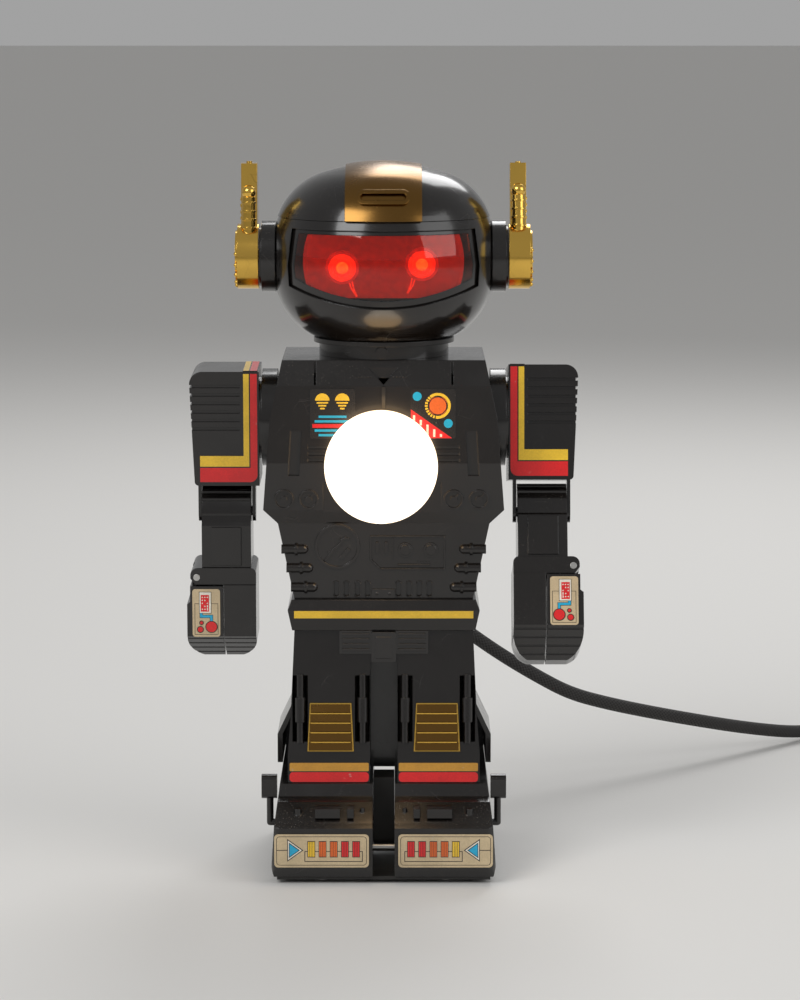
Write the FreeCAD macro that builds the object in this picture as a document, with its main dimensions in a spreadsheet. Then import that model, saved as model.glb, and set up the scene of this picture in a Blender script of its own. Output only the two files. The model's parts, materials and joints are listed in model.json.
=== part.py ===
import FreeCAD, Part
import Sketcher
import math
import os
from types import SimpleNamespace

# Robot-shaped desk lamp, in millimetres. It stands on its wheels with +Z up and looks along -Y.
# The origin is on the surface under the middle of the robot's outline. Sizes along Y count from
# the neck axis, and each finished piece is moved back by axis_back.

document = FreeCAD.newDocument("RobotLamp")
sheet = document.addObject("Spreadsheet::Sheet", "Sizes")

# Driving dimensions
SIZES = {
    # The neck axis stands this far behind the middle of the robot's outline
    "axis_back": 17.25,
    # Levels above the surface
    "plate_bottom": 1.6,
    "shell_bottom": 3.0,
    "foot_top": 37.4,
    "leg_top": 99.4,
    "belt_level": 108.0,
    "torso_bottom": 112.1,
    "chest_under": 143.0,
    "chest_low": 149.0,
    "bulb_level": 169.7,
    "shoulder_level": 182.7,
    "chest_mid": 186.0,
    "torso_top": 208.9,
    "collar_top": 216.2,
    "head_bottom": 216.5,
    "head_level": 248.9,
    "seam_level": 265.5,
    # Moulded walls
    "wall": 2.2,
    "sticker": 0.3,
    # Torso
    "belly_bottom_half": 36.2,
    "belly_top_half": 42.8,
    "chest_low_half": 48.6,
    "chest_mid_half": 45.8,
    "chest_top_half": 41.0,
    "belly_front": 31.0,
    "chest_front": 35.0,
    "chest_top_front": 27.0,
    "back_depth": 36.0,
    # Bulb in its dish
    "bulb_x": -0.9,
    "globe_radius": 22.5,
    "globe_reach": 58.0,
    "cap_radius": 7.0,
    "holder_radius": 12.5,
    # Belt and legs
    "belt_half": 38.9,
    "belt_front": 35.0,
    "leg_top_half": 36.3,
    "leg_bottom_half": 39.0,
    "leg_top_front": 31.0,
    "leg_bottom_front": 38.0,
    "heel_half": 44.5,
    "leg_gap": 5.6,
    "crotch_level": 86.0,
    # Feet
    "foot_inner": 4.4,
    "foot_outer": 45.2,
    "toe": 60.3,
    "heel": 38.0,
    # Wheels and axles
    "wheel_radius": 9.0,
    "wheel_width": 8.0,
    "wheel_inner": 18.0,
    "axle_radius": 1.5,
    "axle_half": 36.0,
    "front_axle_y": -32.0,
    "rear_axle_y": 20.0,
    "running_gap": 0.05,
    # Neck
    "collar_radius": 26.5,
    "collar_lip": 28.8,
    "neck_bore": 15.5,
    # Head: radius at the equator, then three tangent arcs up to the pole
    "head_half": 46.4,
    "cheek_arc": 46.0,
    "cheek_turn": 24.0,
    "temple_arc": 28.0,
    "temple_turn": 72.0,
    "brow_step": 0.4,
    "visor_top": 260.0,
    "visor_half": 36.0,
    "visor_thick": 1.2,
    "eye_radius": 6.7,
    "crest_half": 15.4,
    # Ears
    "ear_radius": 14.5,
    "ear_out": 49.8,
    "spacer_out": 50.7,
    "antenna_in": 51.0,
    "antenna_out": 59.6,
    "cup_radius": 13.3,
    "mast_top": 37.9,
    "antenna_shaft": 3.0,
    # Arms: distances from the middle, heights from the shoulder axis
    "socket_floor": 43.2,
    "hub_out": 49.8,
    "hub_radius": 20.0,
    "shaft_radius": 5.0,
    "arm_in": 50.8,
    "arm_out": 79.2,
    "arm_top": 20.8,
    "arm_bottom": -26.2,
    "arm_depth": 15.0,
    "elbow_drop": 39.2,
    "elbow_radius": 11.7,
    "elbow_pin": 2.0,
    "forearm_in": 54.6,
    "forearm_out": 74.8,
    "wrist_drop": 21.5,
    "wrist_height": 7.0,
    "hand_in": 52.6,
    "hand_out": 81.0,
    "hand_drop": 61.5,
    "jaw_split": 66.0,
    "jaw_pin_x": 77.0,
    "jaw_pin_drop": 25.4,
    "jaw_pin_radius": 1.4,
    # Rest angles of the arms and the antennas, forward is positive
    "left_swing": -2.0,
    "left_bend": 0.0,
    "right_swing": 9.0,
    "right_bend": 12.0,
    "left_lean": 0.0,
    "right_lean": 8.0,
    # Switch, cord and plug
    "switch_x": -14.0,
    "switch_level": 126.0,
    "switch_face": 35.0,
    "cord_radius": 3.0,
    "cord_x": 14.0,
    "cord_level": 92.0,
    "gland_face": 34.8,
    "cord_exit": 60.0,
    "coil_pitch": 7.6,
    "coil_layer": 6.8,
    "coil_outer": 45.4,
    "coil_turns": 3.25,
    "plug_level": 6.85,
}

for row, (alias, number) in enumerate(SIZES.items(), start=1):
    sheet.set(f"A{row}", alias.replace("_", " "))
    sheet.set(f"B{row}", str(number))
    sheet.setAlias(f"B{row}", alias)
document.recompute()


class Size:
    """A dimension that carries its value and the sheet formula that gives it."""

    def __init__(self, value, formula):
        self.value = value
        self.formula = formula

    def __add__(self, other):
        other = as_size(other)
        return Size(self.value + other.value, f"({self.formula} + {other.formula})")

    def __sub__(self, other):
        other = as_size(other)
        return Size(self.value - other.value, f"({self.formula} - {other.formula})")

    def __mul__(self, other):
        other = as_size(other)
        return Size(self.value * other.value, f"({self.formula} * {other.formula})")

    def __truediv__(self, other):
        other = as_size(other)
        return Size(self.value / other.value, f"({self.formula} / {other.formula})")

    def __radd__(self, other):
        return as_size(other) + self

    def __rsub__(self, other):
        return as_size(other) - self

    def __rmul__(self, other):
        return as_size(other) * self

    def __neg__(self):
        return as_size(0) - self


def as_size(number):
    if isinstance(number, Size):
        return number
    return Size(float(number), f"({number})")


def sine(angle):
    return Size(math.sin(math.radians(angle.value)), f"sin({angle.formula})")


def cosine(angle):
    return Size(math.cos(math.radians(angle.value)), f"cos({angle.formula})")


s = SimpleNamespace(**{alias: Size(sheet.get(alias), f"Sizes.{alias}") for alias in SIZES})


# Building blocks
def bind(thing, path, number):
    thing.setExpression(path, as_size(number).formula)


def locate(thing, x, y, z):
    bind(thing, "Placement.Base.x", x)
    bind(thing, "Placement.Base.y", y)
    bind(thing, "Placement.Base.z", z)


def box(name, x, y, z):
    """A block between two limits along each axis."""
    block = document.addObject("Part::Box", name)
    bind(block, "Length", as_size(x[1]) - x[0])
    bind(block, "Width", as_size(y[1]) - y[0])
    bind(block, "Height", as_size(z[1]) - z[0])
    locate(block, x[0], y[0], z[0])
    return block


AXIS_TURNS = {
    "X": FreeCAD.Rotation(FreeCAD.Vector(0, 1, 0), 90),
    "Y": FreeCAD.Rotation(FreeCAD.Vector(1, 0, 0), -90),
    "Z": FreeCAD.Rotation(),
}


def rod(name, axis, start, length, radius):
    """A cylinder that starts at a point and runs along +X, +Y or +Z."""
    cylinder = document.addObject("Part::Cylinder", name)
    cylinder.Placement = FreeCAD.Placement(FreeCAD.Vector(), AXIS_TURNS[axis])
    bind(cylinder, "Radius", radius)
    bind(cylinder, "Height", length)
    locate(cylinder, *start)
    return cylinder


def taper(name, axis, start, length, radius_start, radius_end):
    """A cone frustum along +X, +Y or +Z."""
    cone = document.addObject("Part::Cone", name)
    cone.Placement = FreeCAD.Placement(FreeCAD.Vector(), AXIS_TURNS[axis])
    bind(cone, "Radius1", radius_start)
    bind(cone, "Radius2", radius_end)
    bind(cone, "Height", length)
    locate(cone, *start)
    return cone


def ball(name, centre, radius):
    sphere = document.addObject("Part::Sphere", name)
    bind(sphere, "Radius", radius)
    locate(sphere, *centre)
    return sphere


def arc_edge(start, end, radius):
    """An arc between two sketch points; a positive radius turns to the left."""
    first, last = (start, end) if radius > 0 else (end, start)
    middle = (first + last) * 0.5
    chord = last - first
    rise = math.sqrt(max(radius * radius - chord.Length ** 2 / 4, 0.0))
    left = FreeCAD.Vector(-chord.y, chord.x, 0).normalize()
    centre = middle + left * rise
    begin = math.atan2(first.y - centre.y, first.x - centre.x)
    finish = math.atan2(last.y - centre.y, last.x - centre.x)
    if finish < begin:
        finish += 2 * math.pi
    circle = Part.Circle(centre, FreeCAD.Vector(0, 0, 1), abs(radius))
    return Part.ArcOfCircle(circle, begin, finish)


def outline_sketch(body, plane, points, arcs):
    """A closed outline on an origin plane; arcs maps an edge number to its radius."""
    profile = body.newObject("Sketcher::SketchObject", body.Name + "Outline")
    for feature in body.Origin.OriginFeatures:
        if feature.Role == plane + "_Plane":
            profile.AttachmentSupport = (feature, [""])
    profile.MapMode = "FlatFace"
    points = [(as_size(across), as_size(up)) for across, up in points]
    arcs = {edge: as_size(radius) for edge, radius in arcs.items()}
    count = len(points)
    spots = [FreeCAD.Vector(across.value, up.value, 0) for across, up in points]
    heads = []
    for edge in range(count):
        start, end = spots[edge], spots[(edge + 1) % count]
        radius = arcs[edge].value if edge in arcs else 0
        if radius:
            profile.addGeometry(arc_edge(start, end, radius), False)
        else:
            profile.addGeometry(Part.LineSegment(start, end), False)
        heads.append((1, 2) if radius >= 0 else (2, 1))
    for edge in range(count):
        following = (edge + 1) % count
        tail, head = heads[edge][1], heads[following][0]
        profile.addConstraint(Sketcher.Constraint("Coincident", edge, tail, following, head))
    for edge, (across, up) in enumerate(points):
        for kind, number in (("DistanceX", across), ("DistanceY", up)):
            distance = Sketcher.Constraint(kind, -1, 1, edge, heads[edge][0], number.value)
            index = profile.addConstraint(distance)
            bind(profile, f"Constraints[{index}]", number)
    for edge, radius in arcs.items():
        index = profile.addConstraint(Sketcher.Constraint("Radius", edge, abs(radius.value)))
        bind(profile, f"Constraints[{index}]", radius if radius.value > 0 else -radius)
    return profile


def prism(name, plane, points, low, high, arcs=None):
    """An outline on the XY, XZ or YZ plane, padded between two levels of the third axis."""
    body = document.addObject("PartDesign::Body", name)
    profile = outline_sketch(body, plane, points, arcs or {})
    pad = body.newObject("PartDesign::Pad", name + "Pad")
    pad.Profile = profile
    pad.Midplane = True
    bind(pad, "Length", as_size(high) - low)
    third = {"XY": "z", "XZ": "y", "YZ": "x"}[plane]
    bind(body, "Placement.Base." + third, (as_size(low) + high) / 2)
    return body


def turned(name, points, arcs=None):
    """An outline of radius and height, revolved about the Z axis."""
    body = document.addObject("PartDesign::Body", name)
    profile = outline_sketch(body, "XZ", points, arcs or {})
    revolution = body.newObject("PartDesign::Revolution", name + "Turn")
    revolution.Profile = profile
    revolution.ReferenceAxis = (profile, ["V_Axis"])
    revolution.Angle = 360
    return body


def face_forward(thing, x, y, z):
    """Turn a revolved piece so that its axis points forward, and put its origin there."""
    thing.Placement = FreeCAD.Placement(
        FreeCAD.Vector(), FreeCAD.Rotation(FreeCAD.Vector(1, 0, 0), 90)
    )
    locate(thing, x, y, z)
    return thing


def join(name, *parts):
    fused = document.addObject("Part::MultiFuse", name)
    fused.Shapes = list(parts)
    return fused


def group(name, *parts):
    bundle = document.addObject("Part::Compound", name)
    bundle.Links = list(parts)
    return bundle


def overlap(name, *parts):
    shared = document.addObject("Part::MultiCommon", name)
    shared.Shapes = list(parts)
    return shared


def cut(name, base, *tools):
    rest = document.addObject("Part::Cut", name)
    rest.Base = base
    rest.Tool = tools[0] if len(tools) == 1 else join(name + "Tools", *tools)
    return rest


def mirrored(name, source):
    """The same piece on the other side of the robot."""
    image = document.addObject("Part::Mirroring", name)
    image.Source = source
    image.Normal = FreeCAD.Vector(1, 0, 0)
    image.Base = FreeCAD.Vector(0, 0, 0)
    return image


def both_sides(points):
    """Close a right-hand edge of (across, up) points, bottom to top, with its mirror image."""
    return list(points) + [(-as_size(across), up) for across, up in reversed(points)]


NODES = {}


def node(label, thing, place=None):
    """Name a finished piece and put it where it belongs, with the neck axis behind the origin."""
    piece = group(label.title().replace("_", "") + "Node", thing)
    place = place or FreeCAD.Placement()
    piece.Placement = place
    bind(piece, "Placement.Base.y", s.axis_back + place.Base.y)
    piece.Label = label
    NODES[label] = piece


# Torso: one hollow form of front outline and side profile, split into two shells at Y = 0
def torso_form(name, gap, floor):
    edge = [
        (s.belly_bottom_half - gap, floor),
        (s.belly_top_half - gap, s.chest_under),
        (s.chest_low_half - gap, s.chest_low),
        (s.chest_mid_half - gap, s.chest_mid),
        (s.chest_top_half - gap, s.torso_top - gap),
    ]
    front = prism(name + "Front", "XZ", both_sides(edge), -60, 60)
    side = [
        (gap - s.belly_front, floor),
        (s.back_depth - 3 - gap, floor),
        (s.back_depth - gap, s.chest_low),
        (s.back_depth - gap, s.chest_mid),
        (s.chest_top_front - gap, s.torso_top - gap),
        (gap - s.chest_top_front, s.torso_top - gap),
        (gap - s.chest_front + 2.2, s.torso_top - 9.9),
        (gap - s.chest_front, s.bulb_level - 1.7),
        (gap - s.chest_front + 0.5, s.chest_low),
        (gap - s.belly_front, s.chest_under),
    ]
    profile = prism(name + "Side", "YZ", side, -60, 60)
    return overlap(name, front, profile)


def dials(face):
    """Four round dials along the foot of the chest."""
    adds = []
    for index, x in enumerate((-40.2, -30.3, 28.2, 38.4)):
        disc = rod(f"Dial{index}", "Y", (x, face - 0.7, 153.3), 3, 4.0)
        dish = rod(f"DialDish{index}", "Y", (x, face - 2, 153.3), 2, 3.2)
        adds.append(cut(f"DialRing{index}", disc, dish))
        adds.append(rod(f"DialHub{index}", "Y", (x, face - 0.9, 153.3), 3, 1.5))
    return adds


def ribbed_capsules():
    """Three short hydraulic ends at each side of the belly, a collar round each."""
    adds = []
    face = -s.belly_front
    for index, side in enumerate((-1, 1)):
        for row, (outer, level) in enumerate(((41.4, 132.5), (39.4, 124.8), (37.6, 116.9))):
            name = f"Capsule{index}{row}"
            start = -outer if side < 0 else outer - 9
            adds.append(rod(name, "X", (start, face, level), 9, 1.9))
            adds.append(ball(name + "End", (side * (outer - 9), face, level), 1.9))
            collar_x = side * (outer - 6) - 0.6
            adds.append(rod(name + "Collar", "X", (collar_x, face, level), 1.2, 2.5))
    return adds


def chest_reliefs():
    """Details of the chest front: what stands proud of it, and what is sunk into it."""
    face = -s.belly_front
    gauge = rod("Gauge", "Y", (-18.8, face - 0.8, 133.5), 2, 9.2)
    adds = dials(-s.chest_front) + ribbed_capsules()
    adds.append(cut("GaugeRing", gauge, rod("GaugeDish", "Y", (-18.8, face - 2, 133.5), 2, 8.0)))
    adds.append(box("Breastbone", (-0.8, 0.8), (-33.8, -30), (190, 199)))

    panel = [(-1.5, 124.1), (24.9, 124.1), (24.9, 137.9), (-5.5, 137.9), (-5.5, 128.1)]
    cuts = [prism("InstrumentPanel", "XZ", panel, -40, face + 0.7)]
    for index, x in enumerate((-19.2, -15.1, -10.6, -6.5, 6.0, 10.3, 14.4, 18.5)):
        cuts.append(box(f"Vent{index}", (x - 1, x + 1), (-40, face + 1.2), (113, 119.2)))
    neck_panel = [(0, 199.5), (11.5, 212), (-11.5, 212)]
    cuts.append(prism("NeckPanel", "XZ", neck_panel, -60, -28.6))
    for index, side in enumerate((-1, 1)):
        pad_x = side * 27.6
        cuts.append(box(f"PadLine{index}", (pad_x - 0.4, pad_x + 0.4), (-60, -27.2), (199.5, 212)))
        hollow = [(38.4, 163), (37.4, 181), (33.0, 181), (34.0, 163)]
        if side < 0:
            hollow = [(-across, up) for across, up in reversed(hollow)]
        cuts.append(prism(f"SideHollow{index}", "XZ", hollow, -60, -33.4))
        middle = side * 25
        for line in range(3):
            level = 168.6 + 2.6 * line
            cuts.append(box(f"Louvre{index}{line}", (middle - 5.5, middle + 5.5), (-60, -34),
                            (level, level + 1.2)))
    return adds, cuts


def torso():
    outer = torso_form("TorsoOuter", 0, s.torso_bottom)
    cavity = torso_form("TorsoCavity", s.wall, s.torso_bottom - 0.001)
    sockets = []
    recesses = []
    for index, side in enumerate((-1, 1)):
        inner = s.socket_floor - 2.3
        start = inner if side > 0 else -inner - 20
        pad = rod(f"SocketPad{index}", "X", (start, 0, s.shoulder_level), 20, s.hub_radius + 2.4)
        sockets.append(overlap(f"Socket{index}", outer, pad))
        start = s.socket_floor if side > 0 else -s.socket_floor - 20
        recesses.append(rod(f"SocketDish{index}", "X", (start, 0, s.shoulder_level), 20,
                            s.hub_radius + 0.4))
        start = inner - 4 if side > 0 else -inner - 26
        recesses.append(rod(f"SocketBore{index}", "X", (start, 0, s.shoulder_level), 30,
                            s.shaft_radius + s.running_gap))
    panel = [(-24.4, 144.6), (23.2, 144.6), (23.2, 160), (-24.4, 160)]
    recesses.append(prism("LampPanel", "XZ", panel, -60, 1.0 - s.chest_front))
    recesses.append(rod("HolderHole", "Y", (s.bulb_x, -60, s.bulb_level), 45, s.holder_radius + 0.05))
    recesses.append(rod("NeckHole", "Z", (0, 0, s.torso_top - 10), 20, s.neck_bore + 1.8))
    walls = cut("TorsoWalls", outer, cavity)
    body = cut("TorsoBody", join("TorsoSolid", walls, *sockets), *recesses)

    adds, cuts = chest_reliefs()
    front_reach = overlap("FrontPosts", outer, group("FrontPostBars", *front_bars("torso")))
    front = overlap("ChestBlank", body, box("FrontHalf", (-60, 60), (-60, 0), (100, 220)))
    details = overlap("ChestDetails", join("ChestDetailBars", *adds), box("Forward", (-60, 60), (-60, -28),
                                                                         (100, 220)))
    chest = cut("Chest", join("ChestJoined", front, front_reach, details), *cuts,
                *screw_pilots("torso"))
    node("chest_shell", chest)

    rear = overlap("BackBlank", body, box("RearHalf", (-60, 60), (0, 60), (100, 220)))
    door = box("DoorRecess", (-24, 24), (s.back_depth - 1.2, 50), (150.0, 184.0))
    switch_hole = box("SwitchHole", (s.switch_x - 9.6, s.switch_x + 9.6), (20, 50),
                      (s.switch_level - 6.6, s.switch_level + 6.6))
    posts = overlap("BackPosts", outer, group("BackPostBars", *rear_bars("torso")))
    pad = box("SwitchPad", (s.switch_x - 12, s.switch_x + 12), (30, s.switch_face),
              (s.switch_level - 8.6, s.switch_level + 8.6))
    back = cut("Back", join("BackJoined", rear, posts, pad), door, switch_hole, *screw_bores("torso"))
    node("back_shell", back)


# Screws that close the front and back shells: places on the back, and how deep the heads sit
SCREW_SPOTS = {
    "torso": ((-30, 196), (30, 196), (-30, 122), (30, 122)),
    "legs": ((-22, 66), (22, 66)),
}
HEAD_SEAT = 26.0


def front_bars(place):
    return [rod(f"FrontBar{x}{level}", "Y", (x, -40, level), 40, 3.4) for x, level in SCREW_SPOTS[place]]


def rear_bars(place):
    return [rod(f"RearBar{x}{level}", "Y", (x, 0, level), 40, 4.2)
            for x, level in SCREW_SPOTS[place]]


def screw_pilots(place):
    return [rod(f"Pilot{x}{level}", "Y", (x, -10, level), 10, 1.5) for x, level in SCREW_SPOTS[place]]


def screw_bores(place):
    bores = []
    for x, level in SCREW_SPOTS[place]:
        bores.append(rod(f"Bore{x}{level}", "Y", (x, 0, level), HEAD_SEAT, 1.7))
        bores.append(rod(f"Seat{x}{level}", "Y", (x, HEAD_SEAT, level), 30, 3.2))
    return bores


def shell_screws():
    screws = []
    for place in SCREW_SPOTS.values():
        for x, level in place:
            shank = rod(f"Shank{x}{level}", "Y", (x, -9, level), HEAD_SEAT + 9, 1.5)
            head = rod(f"Head{x}{level}", "Y", (x, HEAD_SEAT, level), 2, 2.9)
            slot = box(f"Slot{x}{level}", (x - 0.5, x + 0.5), (HEAD_SEAT + 1.2, HEAD_SEAT + 3),
                       (level - 4, level + 4))
            screws.append(cut(f"Screw{x}{level}", join(f"Blank{x}{level}", shank, head), slot))
    node("shell_screws", group("ShellScrews", *screws))


def back_fittings():
    back = s.back_depth
    plate = box("DoorPlate", (-23.8, 23.8), (back - 1.2, back + 0.6), (150.2, 183.8))
    grips = [box(f"DoorGrip{row}", (-8, 8), (back + 0.1, back + 2), (177.4 - 2.4 * row, 178.6 - 2.4 * row))
             for row in range(4)]
    node("service_door", cut("ServiceDoor", plate, *grips))

    # The switch sits square on a flat pad of the sloping lower back
    x, level = s.switch_x, s.switch_level
    face = s.switch_face
    bezel = box("SwitchBezel", (x - 11, x + 11), (face, face + 1.8), (level - 7.6, level + 7.6))
    case = box("SwitchCase", (x - 9.5, x + 9.5), (face - 14.6, face), (level - 6.5, level + 6.5))
    well = box("SwitchWell", (x - 8.6, x + 8.6), (face - 6.6, face + 3), (level - 5.2, level + 5.2))
    pivot_y = face - 2
    bore = rod("RockerBore", "X", (x - 9.3, pivot_y, level), 18.6, 1.0 + s.running_gap)
    node("switch_body", cut("SwitchBody", join("SwitchSolid", bezel, case), well, bore))
    rocker = [
        (pivot_y - 2.6, level - 3.0),
        (pivot_y + 1.6, level - 4.6),
        (pivot_y + 3.6, level - 4.0),
        (pivot_y + 2.2, level),
        (pivot_y + 3.6, level + 4.0),
        (pivot_y + 1.6, level + 4.6),
        (pivot_y - 2.6, level + 3.0),
    ]
    pin = rod("RockerPin", "X", (x - 9.2, pivot_y, level), 18.4, 1.0)
    node("rocker", join("Rocker", prism("RockerKey", "YZ", rocker, x - 8.2, x + 8.2), pin))


# Belt and legs: hollow front and back shells with a deep recess between the legs
def legs_form(name, gap, floor, heel_half):
    right = [
        (heel_half - gap, floor),
        (heel_half - gap, s.foot_top + 12),
        (s.leg_top_half + 1.6 - gap, s.foot_top + 26),
        (s.leg_top_half - gap, s.leg_top - 0.4),
        (s.leg_top_half + 0.9 - gap, s.leg_top),
        (s.belt_half - gap, s.belt_level),
        (s.belt_half - 1.5 - gap, s.torso_bottom - gap),
    ]
    front = prism(name + "Front", "XZ", both_sides(right), -60, 60)
    side = [
        (gap - s.leg_bottom_front, floor),
        (s.back_depth - gap, floor),
        (s.back_depth - 2.5 - gap, s.leg_top),
        (s.back_depth - 0.5 - gap, s.belt_level),
        (s.back_depth - 1.5 - gap, s.torso_bottom - gap),
        (gap - s.belt_front + 1.4, s.torso_bottom - gap),
        (gap - s.belt_front, s.belt_level),
        (gap - s.leg_top_front - 1.6, s.leg_top),
        (gap - s.leg_top_front, s.leg_top - 0.4),
    ]
    profile = prism(name + "Side", "YZ", side, -60, 60)
    return overlap(name, front, profile)


def leg_reliefs():
    """Details of the leg fronts: the hip plates, and rods lying in open pockets."""
    adds = []
    cuts = []
    for index, side in enumerate((-1, 1)):
        plate = (4.8, 18.0) if side > 0 else (-18.0, -4.8)
        adds.append(box(f"HipPlate{index}", plate, (-s.leg_top_front - 1.6, -29), (89.6, 99.2)))
        for place, x in enumerate((8.6, 34.0)):
            name = f"{index}{place}"
            pocket = rod("Pocket" + name, "Z", (0, 0, 0), 27, 3.1)
            lean(pocket, side * x, 54)
            cuts.append(pocket)
            for part, (low, length, radius) in enumerate(((53.5, 28, 1.5), (62, 10, 2.2))):
                bar = rod(f"LegRod{name}{part}", "Z", (0, 0, 0), length, radius)
                lean(bar, side * x, low)
                adds.append(bar)
    return adds, cuts


LEG_SLOPE = math.degrees(math.atan2(SIZES["leg_bottom_front"] - SIZES["leg_top_front"],
                                    SIZES["leg_top"] - SIZES["foot_top"]))


def leg_front_at(level):
    """How far forward the sloping leg front is at a level."""
    run = (s.leg_top - as_size(level)) / (s.leg_top - s.foot_top)
    return s.leg_top_front + run * (s.leg_bottom_front - s.leg_top_front)


def lean(thing, x, level):
    """Lay an upright piece against the sloping leg front."""
    thing.Placement = FreeCAD.Placement(
        FreeCAD.Vector(), FreeCAD.Rotation(FreeCAD.Vector(1, 0, 0), -LEG_SLOPE)
    )
    locate(thing, x, -leg_front_at(level), level)


def legs():
    floor = s.foot_top
    adds, cuts = leg_reliefs()
    gap = s.leg_gap
    for name, heel, sign in (("front", s.leg_bottom_half, -1), ("back", s.heel_half, 1)):
        title = name.capitalize()
        outer = legs_form(title + "LegOuter", 0, floor, heel)
        cavity = legs_form(title + "LegCavity", s.wall, floor - 0.001, heel)
        reach = (-60, -5.8) if sign < 0 else (5.8, 60)
        spine = box(title + "Spine", (-gap - s.wall, gap + s.wall), reach, (20, s.crotch_level + s.wall))
        slot_reach = (-60, -8) if sign < 0 else (8, 60)
        slot = box(title + "Slot", (-gap, gap), slot_reach, (20, s.crotch_level))
        half = box(title + "LegHalf", (-60, 60), (-60, 0) if sign < 0 else (0, 60), (30, 120))
        walls = cut(title + "LegWalls", outer, cut(title + "LegRoom", cavity, spine))
        blank = overlap(title + "LegBlank", walls, half)
        leads_way = rod(title + "LeadsWay", "Z", (s.cord_x, 0, 105), 20, 4.0)
        if sign < 0:
            bars = overlap("LegPosts", outer, group("LegPostBars", *front_bars("legs")))
            hollows = cut("LegHollows", join("LegFrontJoined", blank, bars), slot, leads_way, *cuts,
                          *screw_pilots("legs"))
            details = overlap("LegDetails", join("LegDetailBars", *adds),
                              box("LegForward", (-60, 60), (-60, -30), (30, 120)))
            node("leg_front_shell", join("LegFront", hollows, details))
        else:
            bars = overlap("LegBackPosts", outer, group("LegBackBars", *rear_bars("legs")))
            gland = (s.cord_x, s.back_depth - 5, s.cord_level)
            gland_pad = rod("GlandPad", "Y", gland, s.gland_face - s.back_depth + 5, 9)
            gland_hole = rod("GlandHole", "Y", (s.cord_x, 20, s.cord_level), 30, 5.0)
            joined = join("LegBackJoined", blank, bars, gland_pad)
            node("leg_back_shell", cut("LegBack", joined, slot, leads_way, gland_hole,
                                       *screw_bores("legs")))


def leg_trim():
    plates = []
    for index, side in enumerate((-1, 1)):
        low, high = 50.1, 69.8
        run = high - low
        half_low, half_high, middle = 9.5, 8.5, side * 21.6
        outline = [(-half_low, 0), (half_low, 0), (half_high, run), (-half_high, run)]
        back = prism(f"GrilleBack{index}", "XZ", outline, -0.8, 0)
        slats = []
        for row in range(5):
            z = 0.5 + row * 3.9
            half = half_low - (half_low - half_high) * (z / run) - 0.6
            slats.append(prism(f"Slat{index}{row}", "YZ",
                               [(-0.5, z), (-0.5, z + 3.1), (-1.3, z + 3.1), (-2.0, z)], -half, half))
        plate = join(f"Grille{index}", back, *slats)
        lean(plate, middle, low)
        plates.append(plate)
    node("leg_grilles", group("LegGrilles", *plates))

    bands = []
    for index, side in enumerate((-1, 1)):
        strip = [(-16.2, 0), (16.2, 0), (16.2, 8.0), (-16.2, 8.0)]
        band = group(f"LegBand{index}", prism(f"LegStrip{index}", "XZ", strip, -s.sticker, 0))
        lean(band, side * 22.2, s.foot_top + 0.2)
        bands.append(band)
    node("leg_bands", group("LegBands", *bands))

    slope_run = s.belt_front - s.leg_top_front - 1.6
    slope_rise = s.belt_level - s.leg_top
    belt = [
        (-s.belt_front, s.belt_level),
        (-s.belt_front - s.sticker, s.belt_level),
        (-s.belt_front - s.sticker + slope_run * 0.4, s.belt_level - slope_rise * 0.4),
        (-s.belt_front + slope_run * 0.4, s.belt_level - slope_rise * 0.4),
    ]
    node("belt_band", prism("BeltBand", "YZ", belt, -36.5, 36.5))


# Feet: hollow shoes open below, with the wheels inside
def foot_form(name, gap, floor):
    front = [
        (s.foot_inner + gap, floor),
        (s.foot_outer - 1.0 - gap, floor),
        (s.foot_outer - gap, s.shell_bottom + 4),
        (s.foot_outer - 1.2 - gap, s.foot_top - 13.4),
        (s.foot_outer - 3.0 - gap, s.foot_top - gap),
        (s.foot_inner + gap, s.foot_top - gap),
    ]
    side = [
        (gap - s.toe + 3.3, floor),
        (s.heel - gap, floor),
        (s.heel - gap, s.foot_top - gap),
        (gap - s.toe + 20.3, s.foot_top - gap),
        (gap - s.toe + 17.6, s.foot_top - gap - 4.6),
        (gap - s.toe + 12.3, s.foot_top - gap - 5.6),
        (gap - s.toe + 2.6, s.foot_top - gap - 12.2),
        (gap - s.toe + 0.2, s.foot_top - gap - 13.8),
        (gap - s.toe, s.shell_bottom + 5),
    ]
    plan = [
        (s.foot_inner + gap, gap - s.toe),
        (s.foot_outer - 4 - gap, gap - s.toe),
        (s.foot_outer - gap, gap - s.toe + 4),
        (s.foot_outer - gap, s.heel - 4 - gap),
        (s.foot_outer - 4 - gap, s.heel - gap),
        (s.foot_inner + gap, s.heel - gap),
    ]
    return overlap(
        name,
        prism(name + "Front", "XZ", front, -70, 70),
        prism(name + "Side", "YZ", side, 0, 70),
        prism(name + "Plan", "XY", plan, 0, 50, {1: 5.0, 3: 5.0}),
    )


FOOT_POSTS = ((25, -50), (36, 28), (11, -8))


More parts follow.
